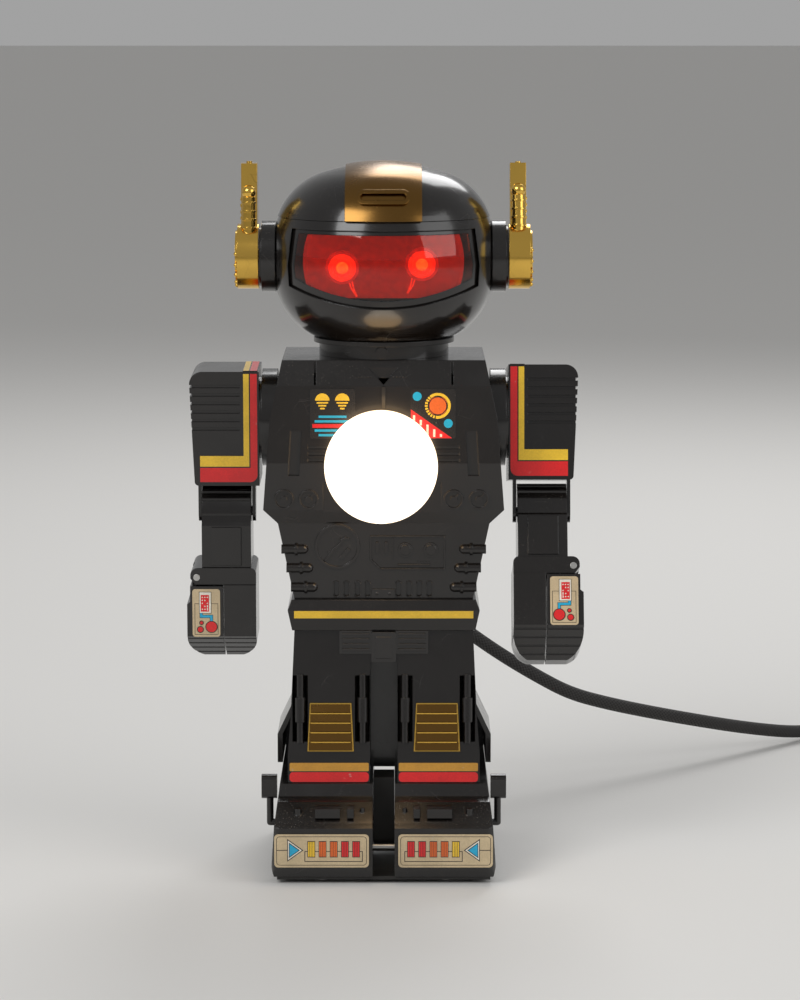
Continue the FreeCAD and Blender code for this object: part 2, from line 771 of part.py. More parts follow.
def feet():
    outer = foot_form("FootOuter", 0, s.shell_bottom)
    cavity = foot_form("FootCavity", 2.0, s.shell_bottom - 0.001)
    posts = [rod(f"FootPost{x}", "Z", (x, y, s.shell_bottom), 40, 3.0) for x, y in FOOT_POSTS]
    pilots = [rod(f"FootPilot{x}", "Z", (x, y, s.shell_bottom - 1), 9, 1.3) for x, y in FOOT_POSTS]
    notches = [box(f"AxleNotch{index}", (0, 8), (y - 2.2, y + 2.2), (0, s.wheel_radius + 2.2))
               for index, y in enumerate((s.front_axle_y, s.rear_axle_y))]
    frame = box("StickerFrame", (5.4, 44.4), (-70, 0.3 - s.toe), (7.4, 21.6))
    knobs = [
        box("InstepBlock", (17.5, 27.5), (-56.8, -47.5), (27, 30.8)),
        box("InstepTab", (12, 14.6), (-56.8, -47.5), (27, 30.8)),
        rod("InstepPost", "Z", (34.5, -52.8, 24), 6.2, 1.6),
        rod("InstepPin", "Z", (8.6, -52.2, 24), 6.2, 1.0),
    ]
    solid = join("FootSolid", cut("FootWalls", outer, cavity), overlap("FootPosts", outer,
                 group("FootPostBars", *posts)), overlap("InstepDetails", join("Instep", *knobs),
                 box("InstepBand", (6, 44), (-58, -47), (25, 34))))
    foot = cut("RightFoot", solid, frame, *pilots, *notches)
    node("right_foot_shell", foot)
    node("left_foot_shell", mirrored("LeftFoot", foot))

    sticker = box("RightFootSticker", (5.9, 43.9), (-s.toe, 0.3 - s.toe), (7.7, 21.3))
    node("foot_stickers", group("FootStickers", sticker, mirrored("LeftFootSticker", sticker)))

    cheek = [(-37.5, 31.8), (-31.5, 31.8), (-31.5, 38.6), (-37.5, 38.6)]
    knob = prism("MirrorHead", "YZ", cheek, 43.5, 49.8, {0: 3.6, 2: 3.6})
    stalk = join(
        "MirrorStalk",
        rod("StalkFoot", "X", (43.6, -34.5, 20.2), 2.8, 1.4),
        ball("StalkBend", (46.4, -34.5, 20.2), 1.4),
        rod("StalkUpright", "Z", (46.4, -34.5, 20.2), 12, 1.4),
    )
    mirror = cut("RightMirror", join("MirrorJoined", knob, stalk), outer)
    node("side_mirrors", group("SideMirrors", mirror, mirrored("LeftMirror", mirror)))


# Base plate with axle brackets, axles and wheels
def undercarriage():
    plate = box("PlateBlank", (-43, 43), (-56, 34), (s.plate_bottom, s.shell_bottom))
    brackets = []
    holes = []
    for index, y in enumerate((s.front_axle_y, s.rear_axle_y)):
        for side in (-1, 1):
            for place, inner in enumerate((12.0, 30.0)):
                x = (side * inner, side * (inner + 3)) if side > 0 else (-inner - 3, -inner)
                name = f"Bracket{index}{place}{'R' if side > 0 else 'L'}"
                brackets.append(box(name, x, (y - 4, y + 4), (s.plate_bottom + 0.5, s.wheel_radius + 4)))
            wheel_x = (s.wheel_inner - 1, s.wheel_inner + s.wheel_width + 1)
            if side < 0:
                wheel_x = (-wheel_x[1], -wheel_x[0])
            holes.append(box(f"WheelSlot{index}{'R' if side > 0 else 'L'}", wheel_x, (y - 10, y + 10), (0, 5)))
        holes.append(rod(f"AxleBore{index}", "X", (-50, y, s.wheel_radius), 100,
                         s.axle_radius + s.running_gap))
    screws = []
    for x, y in FOOT_POSTS:
        for side in (-1, 1):
            name = f"{x}{'R' if side > 0 else 'L'}"
            holes.append(rod("PlateHole" + name, "Z", (side * x, y, 0), 5, 1.4))
            shank = rod("BaseShank" + name, "Z", (side * x, y, s.plate_bottom), 8, 1.3)
            head = rod("BaseHead" + name, "Z", (side * x, y, 0.5), s.plate_bottom - 0.5, 2.6)
            screws.append(join("BaseScrew" + name, shank, head))
    node("base_plate", cut("BasePlate", join("PlateSolid", plate, *brackets), *holes))
    node("base_screws", group("BaseScrews", *screws))

    for name, y in (("front", s.front_axle_y), ("rear", s.rear_axle_y)):
        title = name.capitalize()
        axle = rod(title + "Axle", "X", (-s.axle_half, y, s.wheel_radius), 2 * s.axle_half, s.axle_radius)
        node(name + "_axle", axle)
        wheels = []
        for index, x in enumerate((s.wheel_inner, -s.wheel_inner - s.wheel_width)):
            tread = rod(f"{title}Tread{index}", "X", (x, y, s.wheel_radius), s.wheel_width, s.wheel_radius)
            rim = rod(f"{title}Rim{index}", "X", (x - 0.1, y, s.wheel_radius), 1.3, s.wheel_radius - 2)
            rim_out = rod(f"{title}RimOut{index}", "X", (x + s.wheel_width - 1.2, y, s.wheel_radius), 1.3,
                          s.wheel_radius - 2)
            bore = rod(f"{title}Bore{index}", "X", (x - 1, y, s.wheel_radius), 10, s.axle_radius)
            hub = rod(f"{title}Hub{index}", "X", (x, y, s.wheel_radius), s.wheel_width, 3.2)
            dished = join(f"{title}Dished{index}", cut(f"{title}Rims{index}", tread, rim, rim_out), hub)
            wheels.append(cut(f"{title}Wheel{index}", dished, bore))
        node(name + "_wheels", group(title + "Wheels", *wheels))


# Neck collar on the shoulders, with a bore in which the head's spigot turns
def neck():
    ring = turned("CollarRing", [
        (s.neck_bore, s.torso_top - 2),
        (s.neck_bore + 1.8, s.torso_top - 2),
        (s.neck_bore + 1.8, s.torso_top),
        (s.collar_radius, s.torso_top),
        (s.collar_radius, s.collar_top - 1.9),
        (s.collar_lip, s.collar_top - 1.9),
        (s.collar_lip, s.collar_top),
        (s.neck_bore, s.collar_top),
    ])
    boss = rod("CollarBoss", "Y", (-0.8, -s.collar_radius - 1, s.torso_top + 2.8), 4, 2.5)
    node("neck_collar", join("NeckCollar", ring, boss))


# Head: every surface is the same three-arc form, grown or shrunk by a gap
def head_form(name, gap):
    cheek_x = s.head_half - s.cheek_arc * (1 - cosine(s.cheek_turn))
    cheek_z = s.cheek_arc * sine(s.cheek_turn)
    temple_x = cheek_x - s.temple_arc * (cosine(s.cheek_turn) - cosine(s.temple_turn))
    temple_z = cheek_z + s.temple_arc * (sine(s.temple_turn) - sine(s.cheek_turn))
    pole_arc = temple_x / cosine(s.temple_turn)
    pole = temple_z + pole_arc * (1 - sine(s.temple_turn))
    cheek = (cheek_x + gap * cosine(s.cheek_turn), cheek_z + gap * sine(s.cheek_turn))
    temple = (temple_x + gap * cosine(s.temple_turn), temple_z + gap * sine(s.temple_turn))
    points = [
        (0, -pole - gap),
        (temple[0], -temple[1]),
        (cheek[0], -cheek[1]),
        cheek,
        temple,
        (0, pole + gap),
    ]
    arcs = {
        0: pole_arc + gap,
        1: s.temple_arc + gap,
        2: s.cheek_arc + gap,
        3: s.temple_arc + gap,
        4: pole_arc + gap,
    }
    form = turned(name, points, arcs)
    bind(form, "Placement.Base.z", s.head_level)
    return form


def goggle(name, grow, drop):
    """The visor outline, grown sideways and lowered, as a block through the face."""
    half = s.visor_half + grow
    top = s.visor_top + grow * 0.7
    points = [
        (-half + 0.5, s.visor_top - 18 - drop),
        (half - 0.5, s.visor_top - 18 - drop),
        (half, s.visor_top - 13),
        (half - 1.8, top),
        (-half + 1.8, top),
        (-half, s.visor_top - 13),
    ]
    sag = 8.0
    reach = half - 0.5
    radius = (reach * reach + sag * sag) / (2 * sag)
    return prism(name, "XZ", points, -60, -15, {0: radius})


def head():
    face_outer = head_form("FaceOuter", -s.brow_step)
    face_inner = head_form("FaceInner", -s.brow_step - 2)
    skull_outer = head_form("SkullOuter", as_size(0))
    skull_inner = head_form("SkullInner", as_size(-2))
    face_slab = box("FaceSlab", (-60, 60), (-60, 60), (s.head_bottom, s.seam_level))
    room_slab = box("RoomSlab", (-60, 60), (-60, 60), (s.head_bottom + 2, s.seam_level + 1))
    cap_slab = box("CapSlab", (-60, 60), (-60, 60), (s.seam_level, s.seam_level + 40))

    spigot = turned("Spigot", [
        (12.5, s.torso_top - 5.4),
        (s.neck_bore + 1.3, s.torso_top - 5.4),
        (s.neck_bore + 1.3, s.torso_top - 2.4),
        (s.neck_bore - 0.06, s.torso_top - 2.4),
        (s.neck_bore - 0.06, s.head_bottom + 1),
        (12.5, s.head_bottom + 1),
    ])
    throat = rod("Throat", "Z", (0, 0, s.head_bottom - 1), 6, 12.5)
    window = goggle("Window", 0, 0)
    bezel_skin = cut("BezelSkin", face_outer, head_form("BezelDepth", -s.brow_step - 1.0))
    bezel = overlap("Bezel", goggle("BezelBlock", 2.6, 3.4), bezel_skin)
    lips = []
    for row in range(5):
        half = 17.0 - 1.35 * row
        slot = box(f"Louvre{row}", (-half, half), (-30, 0), (0, 1.0))
        slot.Placement = FreeCAD.Placement(
            FreeCAD.Vector(), FreeCAD.Rotation(FreeCAD.Vector(1, 0, 0), 20)
        )
        locate(slot, -half, -18, 237.2 - 1.9 * row)
        lips.append(slot)
    mouth_skin = cut("MouthSkin", face_outer, head_form("MouthDepth", -s.brow_step - 0.9))
    mouth = overlap("Mouth", mouth_skin, group("MouthLouvres", *lips))

    shell = cut("FaceWalls", overlap("FaceSolid", face_outer, face_slab),
                overlap("FaceRoom", face_inner, room_slab))
    face = cut("Face", join("FaceJoined", shell, spigot), window, bezel, mouth, throat)
    node("face_shell", face)
    skull = cut("Skull", overlap("SkullSolid", skull_outer, cap_slab), skull_inner)
    node("skull_shell", skull)

    crest_form = head_form("CrestForm", as_size(1))
    strip = box("CrestStrip", (-s.crest_half, s.crest_half), (-60, 24), (s.seam_level + 0.1, 300))
    crest = overlap("CrestBlank", cut("CrestSkin", crest_form, skull_outer), strip)
    slot_level = s.head_level + 26.3
    ring = cut("RingBlock", stadium("RingOuter", slot_level, 10.5, 2.75),
               stadium("RingInner", slot_level, 9.1, 1.35))
    ring_top = overlap("RingTop", ring, head_form("RingForm", as_size(2)))
    node("crest_trim", join("Crest", crest, cut("CrestRing", ring_top, crest_form)))

    lens_outer = head_form("VisorOuter", -s.brow_step - 0.5)
    lens_inner = head_form("VisorInner", -s.brow_step - 0.5 - s.visor_thick)
    node("visor", cut("Visor", overlap("VisorSolid", lens_outer, window), lens_inner))

    plate = box("EyePlateBlank", (-32, 32), (-32.0, -30.4), (234.5, 261.5))
    node("eye_plate", overlap("EyePlate", plate, face_inner))
    lenses = []
    leads = []
    for index, (x, z) in enumerate(((-16.3, 246.8), (15.2, 248.1))):
        lens = turned(f"Lens{index}", [
            (0, 0), (s.eye_radius, 0), (s.eye_radius, 3.0), (5.4, 3.6), (5.0, 4.6), (4.0, 4.8),
            (3.6, 4.0), (2.4, 4.2), (1.8, 5.2), (0, 5.4),
        ])
        lenses.append(face_forward(lens, x, -32.0, z))
        inward = 1 if x < 0 else -1
        for wire, shift in enumerate((3.0, 5.0)):
            lead = rod(f"EyeLead{index}{wire}", "Z", (x + inward * shift, -32.5, z - 12.0), 7.4, 0.45)
            leads.append(cut(f"EyeLeadCut{index}{wire}", lead, lens))
    node("eye_lenses", group("EyeLenses", *lenses))
    node("eye_leads", group("EyeLeads", *leads))

    discs = []
    for index, side in enumerate((-1, 1)):
        disc = rod(f"EarDisc{index}", "X", (38 if side > 0 else -s.ear_out, 0, s.head_level),
                   s.ear_out - 38, s.ear_radius)
        spacer = rod(f"EarSpacer{index}", "X",
                     (s.ear_out - 1 if side > 0 else -s.spacer_out, 0, s.head_level),
                     s.spacer_out - s.ear_out + 1, 12.4)
        bore = rod(f"EarBore{index}", "X", (47.2 if side > 0 else -57.2, 0, s.head_level), 10,
                   s.antenna_shaft + s.running_gap)
        discs.append(cut(f"Ear{index}", join(f"EarSolid{index}", disc, spacer), skull_outer, bore))
    node("ear_discs", group("EarDiscs", *discs))


def stadium(name, level, half, radius):
    """A block through the brow with a long round-ended outline."""
    points = [
        (radius - half, level - radius),
        (half - radius, level - radius),
        (half, level),
        (half - radius, level + radius),
        (radius - half, level + radius),
        (-half, level),
    ]
    return prism(name, "XZ", points, -60, -15, {1: radius, 2: radius, 4: radius, 5: radius})


# Antennas: a cup over the ear with a tall mast and a ribbed barrel in front, about the ear axis
def antennas():
    inner, outer = s.antenna_in, s.antenna_out
    cup = rod("Cup", "X", (inner, 0, 0), outer - inner, s.cup_radius)
    step = rod("CupStep", "X", (outer, 0, 0), 0.9, s.cup_radius - 2.6)
    hollow = rod("CupHollow", "X", (outer - 0.2, 0, 0), 2, s.cup_radius - 4.4)
    studs = []
    for row in range(5):
        angle = math.radians(172 + 22 * row)
        spot = (outer + 0.3, 11.8 * math.cos(angle), 11.8 * math.sin(angle))
        studs.append(ball(f"Stud{row}", spot, 1.0))
    mast = [
        (-5.4, 0),
        (8.4, 0),
        (7.0, s.mast_top - 9),
        (4.6, s.mast_top - 3),
        (4.6, s.mast_top),
        (-3.6, s.mast_top),
        (-4.4, s.mast_top - 12),
    ]
    blade = prism("Mast", "YZ", mast, inner + 0.5, outer - 1.6)
    middle = (inner + outer) / 2 - 0.5
    nub = rod("MastNub", "Z", (middle, 0.5, s.mast_top - 0.5), 1.3, 1.2)
    barrel = rod("Barrel", "Z", (middle, -6.4, 9.5), 15.0, 2.6)
    rings = [rod(f"BarrelRing{row}", "Z", (middle, -6.4, 11.6 + 3.4 * row), 0.8, 3.0) for row in range(4)]
    muzzle = ball("Muzzle", (middle, -6.4, 26.4), 2.9)
    point = taper("BarrelPoint", "Z", (middle, -6.4, 1.5), 8.0, 0.8, 2.6)
    ribs = [box(f"MastRib{row}", (outer - 2.0, outer - 1.2), (-3, 6), (15 + 2.6 * row, 16.2 + 2.6 * row))
            for row in range(4)]
    shaft = rod("AntennaShaft", "X", (47.4, 0, 0), inner - 47.4 + 1, s.antenna_shaft)
    solid = join("AntennaSolid", cup, step, blade, nub, barrel, muzzle, point, shaft, *rings, *ribs,
                 *studs)
    antenna = cut("Antenna", solid, hollow)
    right_place = tilt(SIZES["head_level"], SIZES["right_lean"], -1)
    left_place = tilt(SIZES["head_level"], SIZES["left_lean"], -1)
    node("right_antenna", antenna, right_place)
    node("left_antenna", mirrored("LeftAntenna", antenna), left_place)


def tilt(level, angle, sense):
    """A place at a level on the middle plane, turned about X; sense -1 brings the lower end forward."""
    turn = FreeCAD.Rotation(FreeCAD.Vector(1, 0, 0), sense * angle)
    return FreeCAD.Placement(FreeCAD.Vector(0, 0, level), turn)


# Arms, modelled for the right side about the shoulder axis or the elbow axis
def upper_arm():
    top, bottom = s.arm_top, s.arm_bottom
    outline = [
        (s.arm_in, bottom),
        (s.arm_out - 3.4, bottom),
        (s.arm_out - 1.9, bottom + 1.5),
        (s.arm_out, top - 5.0),
        (s.arm_out - 5.0, top),
        (s.arm_in, top),
    ]
    block = prism("ArmBlock", "XZ", outline, -s.arm_depth, s.arm_depth, {1: 1.7, 3: 5.2})
    grooves = []
    for row in range(6):
        level = top - 6.6 - 3.5 * row
        grooves.append(box(f"ArmGroove{row}", (58.6, 90), (-20, 0.7 - s.arm_depth), (level, level + 1.2)))
        grooves.append(box(f"ArmSideGroove{row}", (s.arm_out - 1.0, 90), (-20, 9), (level, level + 1.2)))
    cheeks = []
    for index, (near, far) in enumerate(((52.9, s.forearm_in - 0.3), (s.forearm_out + 0.3, 76.5))):
        plate = box(f"Cheek{index}", (near, far), (-4.3, 4.3), (-s.elbow_drop, bottom + 1))
        end = rod(f"CheekEnd{index}", "X", (near, 0, -s.elbow_drop), as_size(far) - near, 4.3)
        cheeks.append(join(f"CheekPlate{index}", plate, end))
    bore = rod("ElbowBore", "X", (50, 0, -s.elbow_drop), 30, s.elbow_pin + s.running_gap)
    arm = cut("UpperArm", join("ArmSolid", block, *cheeks), bore, *grooves)

    disc = rod("HubDisc", "X", (s.socket_floor + 0.4, 0, 0), s.hub_out - s.socket_floor - 0.4, s.hub_radius)
    neck_disc = rod("HubNeck", "X", (s.hub_out, 0, 0), s.arm_in - s.hub_out, s.hub_radius - 3)
    shaft = rod("HubShaft", "X", (38, 0, 0), s.socket_floor + 1 - 38, s.shaft_radius)
    catch = rod("HubCatch", "X", (37.4, 0, 0), s.socket_floor - 2.7 - 37.4, s.shaft_radius + 3)
    hub = join("ShoulderHub", disc, neck_disc, shaft, catch)

    left_edge, right_edge = s.arm_in + 0.6, s.arm_in + 6.6
    low = bottom + 1.4
    band = [
        (left_edge + 3, low),
        (s.arm_out - 4.0, low),
        (s.arm_out - 4.0, low + 11.2),
        (right_edge, low + 11.2),
        (right_edge, top - 0.8),
        (left_edge, top - 0.8),
        (left_edge, low + 3),
    ]
    front_band = prism("ArmBand", "XZ", band, -s.arm_depth - s.sticker, -s.arm_depth, {6: 3.0})
    top_band = box("ArmTopBand", (left_edge, right_edge), (1 - s.arm_depth, s.arm_depth - 1),
                   (top, top + s.sticker))
    return {"upper_arm": arm, "shoulder_hub": hub, "arm_sticker": group("ArmSticker", front_band, top_band)}


def hand_side(top):
    """Side outline of a hand jaw, its underside sloping back from the knuckles."""
    depth = s.arm_depth
    low = s.hand_drop
    return [
        (-depth, -low + 11.5),
        (-depth + 17, -low),
        (depth - 3, -low),
        (depth, -low + 3),
        (depth, top),
        (-depth, top),
    ]


def jaw_grooves(name):
    """Four grooves across the sloping underside of the hand."""
    grooves = []
    for row in range(4):
        part = 0.1 + 0.24 * row
        y = -s.arm_depth + 17 * part
        z = -s.hand_drop + 11.5 * (1 - part)
        grooves.append(rod(f"{name}Groove{row}", "X", (50, y, z - 0.2), 34, 0.7))
    return grooves


def forearm_and_hand():
    radius = s.elbow_radius
    drop = s.wrist_drop
    side = [
        (-radius, 0),
        (-radius - 0.6, -3),
        (-radius - 1.4, -4),
        (-radius - 1.4, -drop),
        (radius + 1.4, -drop),
        (radius, 0),
        (0, radius),
    ]
    body = prism("ForearmBody", "YZ", side, s.forearm_in, s.forearm_out, {5: radius, 6: radius})
    ridges = []
    for index, angle in enumerate((34, 52)):
        y = -math.cos(math.radians(angle)) * s.elbow_radius
        z = math.sin(math.radians(angle)) * s.elbow_radius
        ridges.append(rod(f"Ridge{index}", "X", (s.forearm_in, y, z), s.forearm_out - s.forearm_in, 0.9))
    panel = box("ForearmPanel", (58.6, 71.0), (-radius - 2.1, -radius), (-drop + 1, -4.6))
    pin = rod("ElbowPin", "X", (52.9, 0, 0), 76.5 - 52.9, s.elbow_pin)
    forearm = join("ForearmSolid", body, panel, pin, *ridges)

    top = -drop
    under = top - s.wrist_height
    block_outline = [
        (s.hand_in, under),
        (s.jaw_pin_x + 0.6, under),
        (s.hand_out - 1.4, under + 2.6),
        (s.hand_out - 1.4, top - 3),
        (s.hand_out - 4.4, top),
        (s.hand_in + 2.4, top),
        (s.hand_in, top - 2.4),
    ]
    block = prism("WristBlock", "XZ", block_outline, 1 - s.arm_depth, s.arm_depth - 1, {3: 3.0, 5: 2.4})
    slot = box("WristSlot", (72.6, 90), (-5, 5), (under - 1, top - 0.9))
    pin_bore = rod("PinBore", "Y", (s.jaw_pin_x, -20, -s.jaw_pin_drop), 40, s.jaw_pin_radius)
    inner_outline = [
        (s.hand_in, -s.hand_drop + 10),
        (s.hand_in + 6, -s.hand_drop),
        (s.jaw_split - 0.3, -s.hand_drop),
        (s.jaw_split - 0.3, under),
        (s.hand_in, under),
    ]
    inner_jaw = overlap(
        "InnerJaw",
        prism("InnerJawFront", "XZ", inner_outline, -20, 20, {0: 10.0}),
        prism("InnerJawSide", "YZ", hand_side(under), 50, 85),
    )
    hand = cut("Hand", join("HandSolid", block, inner_jaw), slot, pin_bore, *jaw_grooves("Inner"))
    pin = rod("JawPin", "Y", (s.jaw_pin_x, 0.6 - s.arm_depth, -s.jaw_pin_drop), 2 * s.arm_depth - 1.6,
              s.jaw_pin_radius)

    jaw_top = under - 0.5
    outer_outline = [
        (s.jaw_split + 0.2, -s.hand_drop),
        (s.hand_out - 6.2, -s.hand_drop),
        (s.hand_out, -s.hand_drop + 10),
        (s.hand_out, -s.hand_drop + 25),
        (s.hand_out - 1.3, -s.hand_drop + 26),
        (s.hand_out - 1.3, jaw_top),
        (s.jaw_split + 0.2, jaw_top),
    ]
    outer_jaw = overlap(
        "OuterJaw",
        prism("OuterJawFront", "XZ", outer_outline, -20, 20, {1: 10.0}),
        prism("OuterJawSide", "YZ", hand_side(jaw_top), 50, 85),
    )
    lug = join(
        "JawLug",
        rod("LugEye", "Y", (s.jaw_pin_x, -4.7, -s.jaw_pin_drop), 9.4, 2.7),
        box("LugNeck", (s.jaw_pin_x - 2.4, s.jaw_pin_x + 2.4), (-4.7, 4.7), (jaw_top - 1, -s.jaw_pin_drop)),
    )
    lug_bore = rod("LugBore", "Y", (s.jaw_pin_x, -20, -s.jaw_pin_drop), 40,
                   s.jaw_pin_radius + s.running_gap)
    jaw = cut("Jaw", join("JawSolid", outer_jaw, lug), lug_bore, *jaw_grooves("Outer"))
    sticker = box("HandSticker", (67.4, 78.8), (-s.arm_depth - s.sticker, -s.arm_depth),
                  (under - 21.6, under - 1.6))
    return {"forearm": forearm, "hand": hand, "jaw_pin": pin, "jaw": jaw, "hand_sticker": sticker}


def arms():
    upper = upper_arm()
    lower = forearm_and_hand()
    for side in ("left", "right"):
        shoulder = tilt(SIZES["shoulder_level"], SIZES[side + "_swing"], -1)
        elbow = shoulder.multiply(tilt(-SIZES["elbow_drop"], SIZES[side + "_bend"], -1))
        for pieces, place in ((upper, shoulder), (lower, elbow)):
            for name, piece in pieces.items():
                title = (side + "_" + name).title().replace("_", "")
                piece = mirrored(title, piece) if side == "left" else piece
                node(f"{side}_{name}", piece, place)


# Bulb, holder and stickers on the chest
def lamp():
    neck_level = 19.0
    neck_half = math.sqrt(SIZES["globe_radius"] ** 2 - neck_level ** 2)
    glass = [
        (0, s.globe_radius),
        (0, -25),
        (8.0, -25),
        (9.0, -23.5),
        (neck_half, -neck_level),
    ]
    glass = turned("GlobeSolid", glass, {4: s.globe_radius})
    neck_bore = rod("GlobeThroat", "Z", (0, 0, -26), 12, 6.2)
    glass = cut("Globe", glass, ball("GlobeInside", (0, 0, 0), s.globe_radius - 0.9), neck_bore)
    at = (s.bulb_x, -s.globe_reach, s.bulb_level)
    node("bulb_globe", face_forward(glass, *at))
    cap = turned("BulbCap", [
        (0, -45), (3.5, -45), (4.2, -43.4), (s.cap_radius, -41.4), (s.cap_radius, -25), (0, -25),
    ])
    node("bulb_cap", face_forward(cap, *at))
    holder = turned("LampHolder", [
        (0, -56), (8.5, -56), (s.holder_radius, -52), (s.holder_radius, -20), (11.4, -20),
        (8.6, -25), (s.cap_radius, -25), (s.cap_radius, -45), (0, -45),
    ])
    node("lamp_holder", face_forward(holder, *at))
    seat = s.chest_front - s.globe_reach
    ring = turned("HolderRing", [
        (s.holder_radius, seat), (s.holder_radius + 3.6, seat),
        (s.holder_radius + 3.6, seat + 1.2), (s.holder_radius + 2.8, seat + 1.8),
        (s.holder_radius, seat + 1.8),
    ])
    node("holder_ring", face_forward(ring, *at))


def chest_stickers():
    """Two square control stickers on the sloping face above the bulb."""
    run = 9.9 + SIZES["bulb_level"] - 1.7 - SIZES["torso_top"]
    slope = math.degrees(math.atan2(2.2, -run))
    plates = []
    for name, x in (("Left", -29.6), ("Right", 10.8)):
        square = [(0, 0), (18.2, 0), (18.2, 19.9), (0, 19.9)]
        plate = group("ChestPlate" + name, prism("ChestSquare" + name, "XZ", square, -s.sticker, 0))
        plate.Placement = FreeCAD.Placement(
            FreeCAD.Vector(), FreeCAD.Rotation(FreeCAD.Vector(1, 0, 0), -slope)
        )
        rise = 178.0 - (s.bulb_level - 1.7)
        locate(plate, x, rise * math.tan(math.radians(slope)) - s.chest_front, 178.0)
        plates.append(plate)
    ring_way = rod("RingWay", "Y", (s.bulb_x, -60, s.bulb_level), 60, s.holder_radius + 4)
    node("chest_stickers", cut("ChestStickers", group("ChestStickerPair", *plates), ring_way))


# Cord: gland and strain relief, a free stretch, a put-away coil and the plug
CORD_ROUTE = (
    (14.0, 60.0, 92.0),
    (14.2, 74.0, 91.6),
    (18.5, 88.5, 88.4),
    (27.0, 100.0, 81.9),
    (40.6, 108.0, 70.2),
    (54.3, 115.0, 59.7),
    (68.6, 122.0, 49.9),
    (83.6, 130.0, 40.4),
    (100.2, 140.0, 33.9),
    (121.0, 154.0, 26.8),
    (144.8, 171.0, 19.2),
    (170.8, 191.0, 11.1),
    (198.2, 213.0, 4.0),
    (224.0, 232.0, 3.0),
    (249.0, 246.0, 3.0),
    (275.0, 246.0, 3.0),
)


def rounded_route(points):
    """Straight runs joined by tangent arcs, each as large as its two runs allow."""
    points = [FreeCAD.Vector(*point) for point in points]
    edges = []
    here = points[0]
    radii = []
    for before, corner, after in zip(points, points[1:], points[2:]):
        back = (before - corner).normalize()
        ahead = (after - corner).normalize()
        setback = 0.45 * min((before - corner).Length, (after - corner).Length)
        half_turn = (math.pi - back.getAngle(ahead)) / 2
        radii.append(setback / math.tan(half_turn))
        start = corner + back * setback
        end = corner + ahead * setback
        bisector = (back + ahead).normalize()
        depth = radii[-1] / math.cos(half_turn) - radii[-1]
        edges.append(Part.LineSegment(here, start).toShape())
        edges.append(Part.Arc(start, corner + bisector * depth, end).toShape())
        here = end
    edges.append(Part.LineSegment(here, points[-1]).toShape())
    print("cord radii:", ", ".join(f"{radius:.0f}" for radius in radii))
    return edges


def tube(edges, radius):
    """A round tube swept along joined edges."""
    path = Part.Wire(edges)
    first = edges[0]
    circle = Part.makeCircle(radius, first.valueAt(first.FirstParameter),
                             first.tangentAt(first.FirstParameter))
    sweep = Part.BRepOffsetAPI.MakePipeShell(path)
    sweep.add(Part.Wire(circle), False, False)
    sweep.build()
    sweep.makeSolid()
    solid = sweep.shape()
    expected = math.pi * radius ** 2 * path.Length
    print(f"tube length {path.Length:.0f}, volume {solid.Volume:.0f} for {expected:.0f}")
    return solid


def arc_from(start, tangent, end, backwards=False):
    """The arc that leaves a point along a tangent and reaches another point, or the same reversed."""
    chord = end - start
    first, last = (end, start) if backwards else (start, end)
    side = tangent - chord * (tangent.dot(chord) / chord.Length ** 2)
    if side.Length < 1e-6:
        return Part.LineSegment(first, last).toShape()
    angle = tangent.getAngle(chord)
    bulge = side.normalize() * (chord.Length / 2 * math.tan(angle / 2))
    return Part.Arc(first, (start + end) * 0.5 + bulge, last).toShape()


def biarc(start, leaving, end, arriving):
    """Two arcs that join two points with given directions."""
    chord = end - start
    both = leaving + arriving
    spread = 2 * (1 - leaving.dot(arriving))
    if spread < 1e-9:
        reach = chord.dot(chord) / (2 * chord.dot(both))
    else:
        along = chord.dot(both)
        reach = (math.sqrt(along ** 2 + spread * chord.dot(chord)) - along) / spread
    middle = (start + end + (leaving - arriving) * reach) * 0.5
    return [arc_from(start, leaving, middle), arc_from(end, -arriving, middle, backwards=True)]


def coil_route():
    """Loops spiral in on the surface, climb a layer, spiral out again and run to the plug."""
    start = FreeCAD.Vector(*CORD_ROUTE[-1])
    lead = 2 * SIZES["cord_radius"]
    outer, pitch, layer = SIZES["coil_outer"], SIZES["coil_pitch"], SIZES["coil_layer"]
    turns = SIZES["coil_turns"]
    centre = start + FreeCAD.Vector(lead, -outer, 0)
    inner = outer - pitch * turns
    quarters = round(turns * 4)

    def station(quarter):
        """Radius and height after so many quarter turns."""
        if quarter <= quarters:
            return outer - pitch * quarter / 4, 0.0
        if quarter <= quarters + 2:
            climb = (1 - math.cos(math.pi * (quarter - quarters) / 2)) / 2
            return inner, layer * climb
        return inner + pitch * (quarter - quarters - 2) / 4, layer

    def spot(quarter):
        radius, height = station(quarter)
        angle = math.radians(90 * quarter - 90)
        return centre + FreeCAD.Vector(radius * math.cos(angle), -radius * math.sin(angle), height)

    last = 2 * quarters + 2
    step = 0.01
    edges = [Part.LineSegment(start, spot(0)).toShape()]
    direction = FreeCAD.Vector(1, 0, 0)
    for quarter in range(last):
        arriving = (spot(quarter + 1 + step) - spot(quarter + 1 - step)).normalize()
        if quarter + 1 == last:
            arriving = FreeCAD.Vector(1, 0, 0)
        edges += biarc(spot(quarter), direction, spot(quarter + 1), arriving)
        direction = arriving
    top = spot(last)
    away = top + FreeCAD.Vector(14, 0, 0)
    down = FreeCAD.Vector(away.x + 30, away.y, SIZES["plug_level"])
    finish = down + FreeCAD.Vector(lead, 0, 0)
    edges.append(Part.LineSegment(top, away).toShape())
    edges += biarc(away, direction, down, direction)
    edges.append(Part.LineSegment(down, finish).toShape())
    return edges, finish


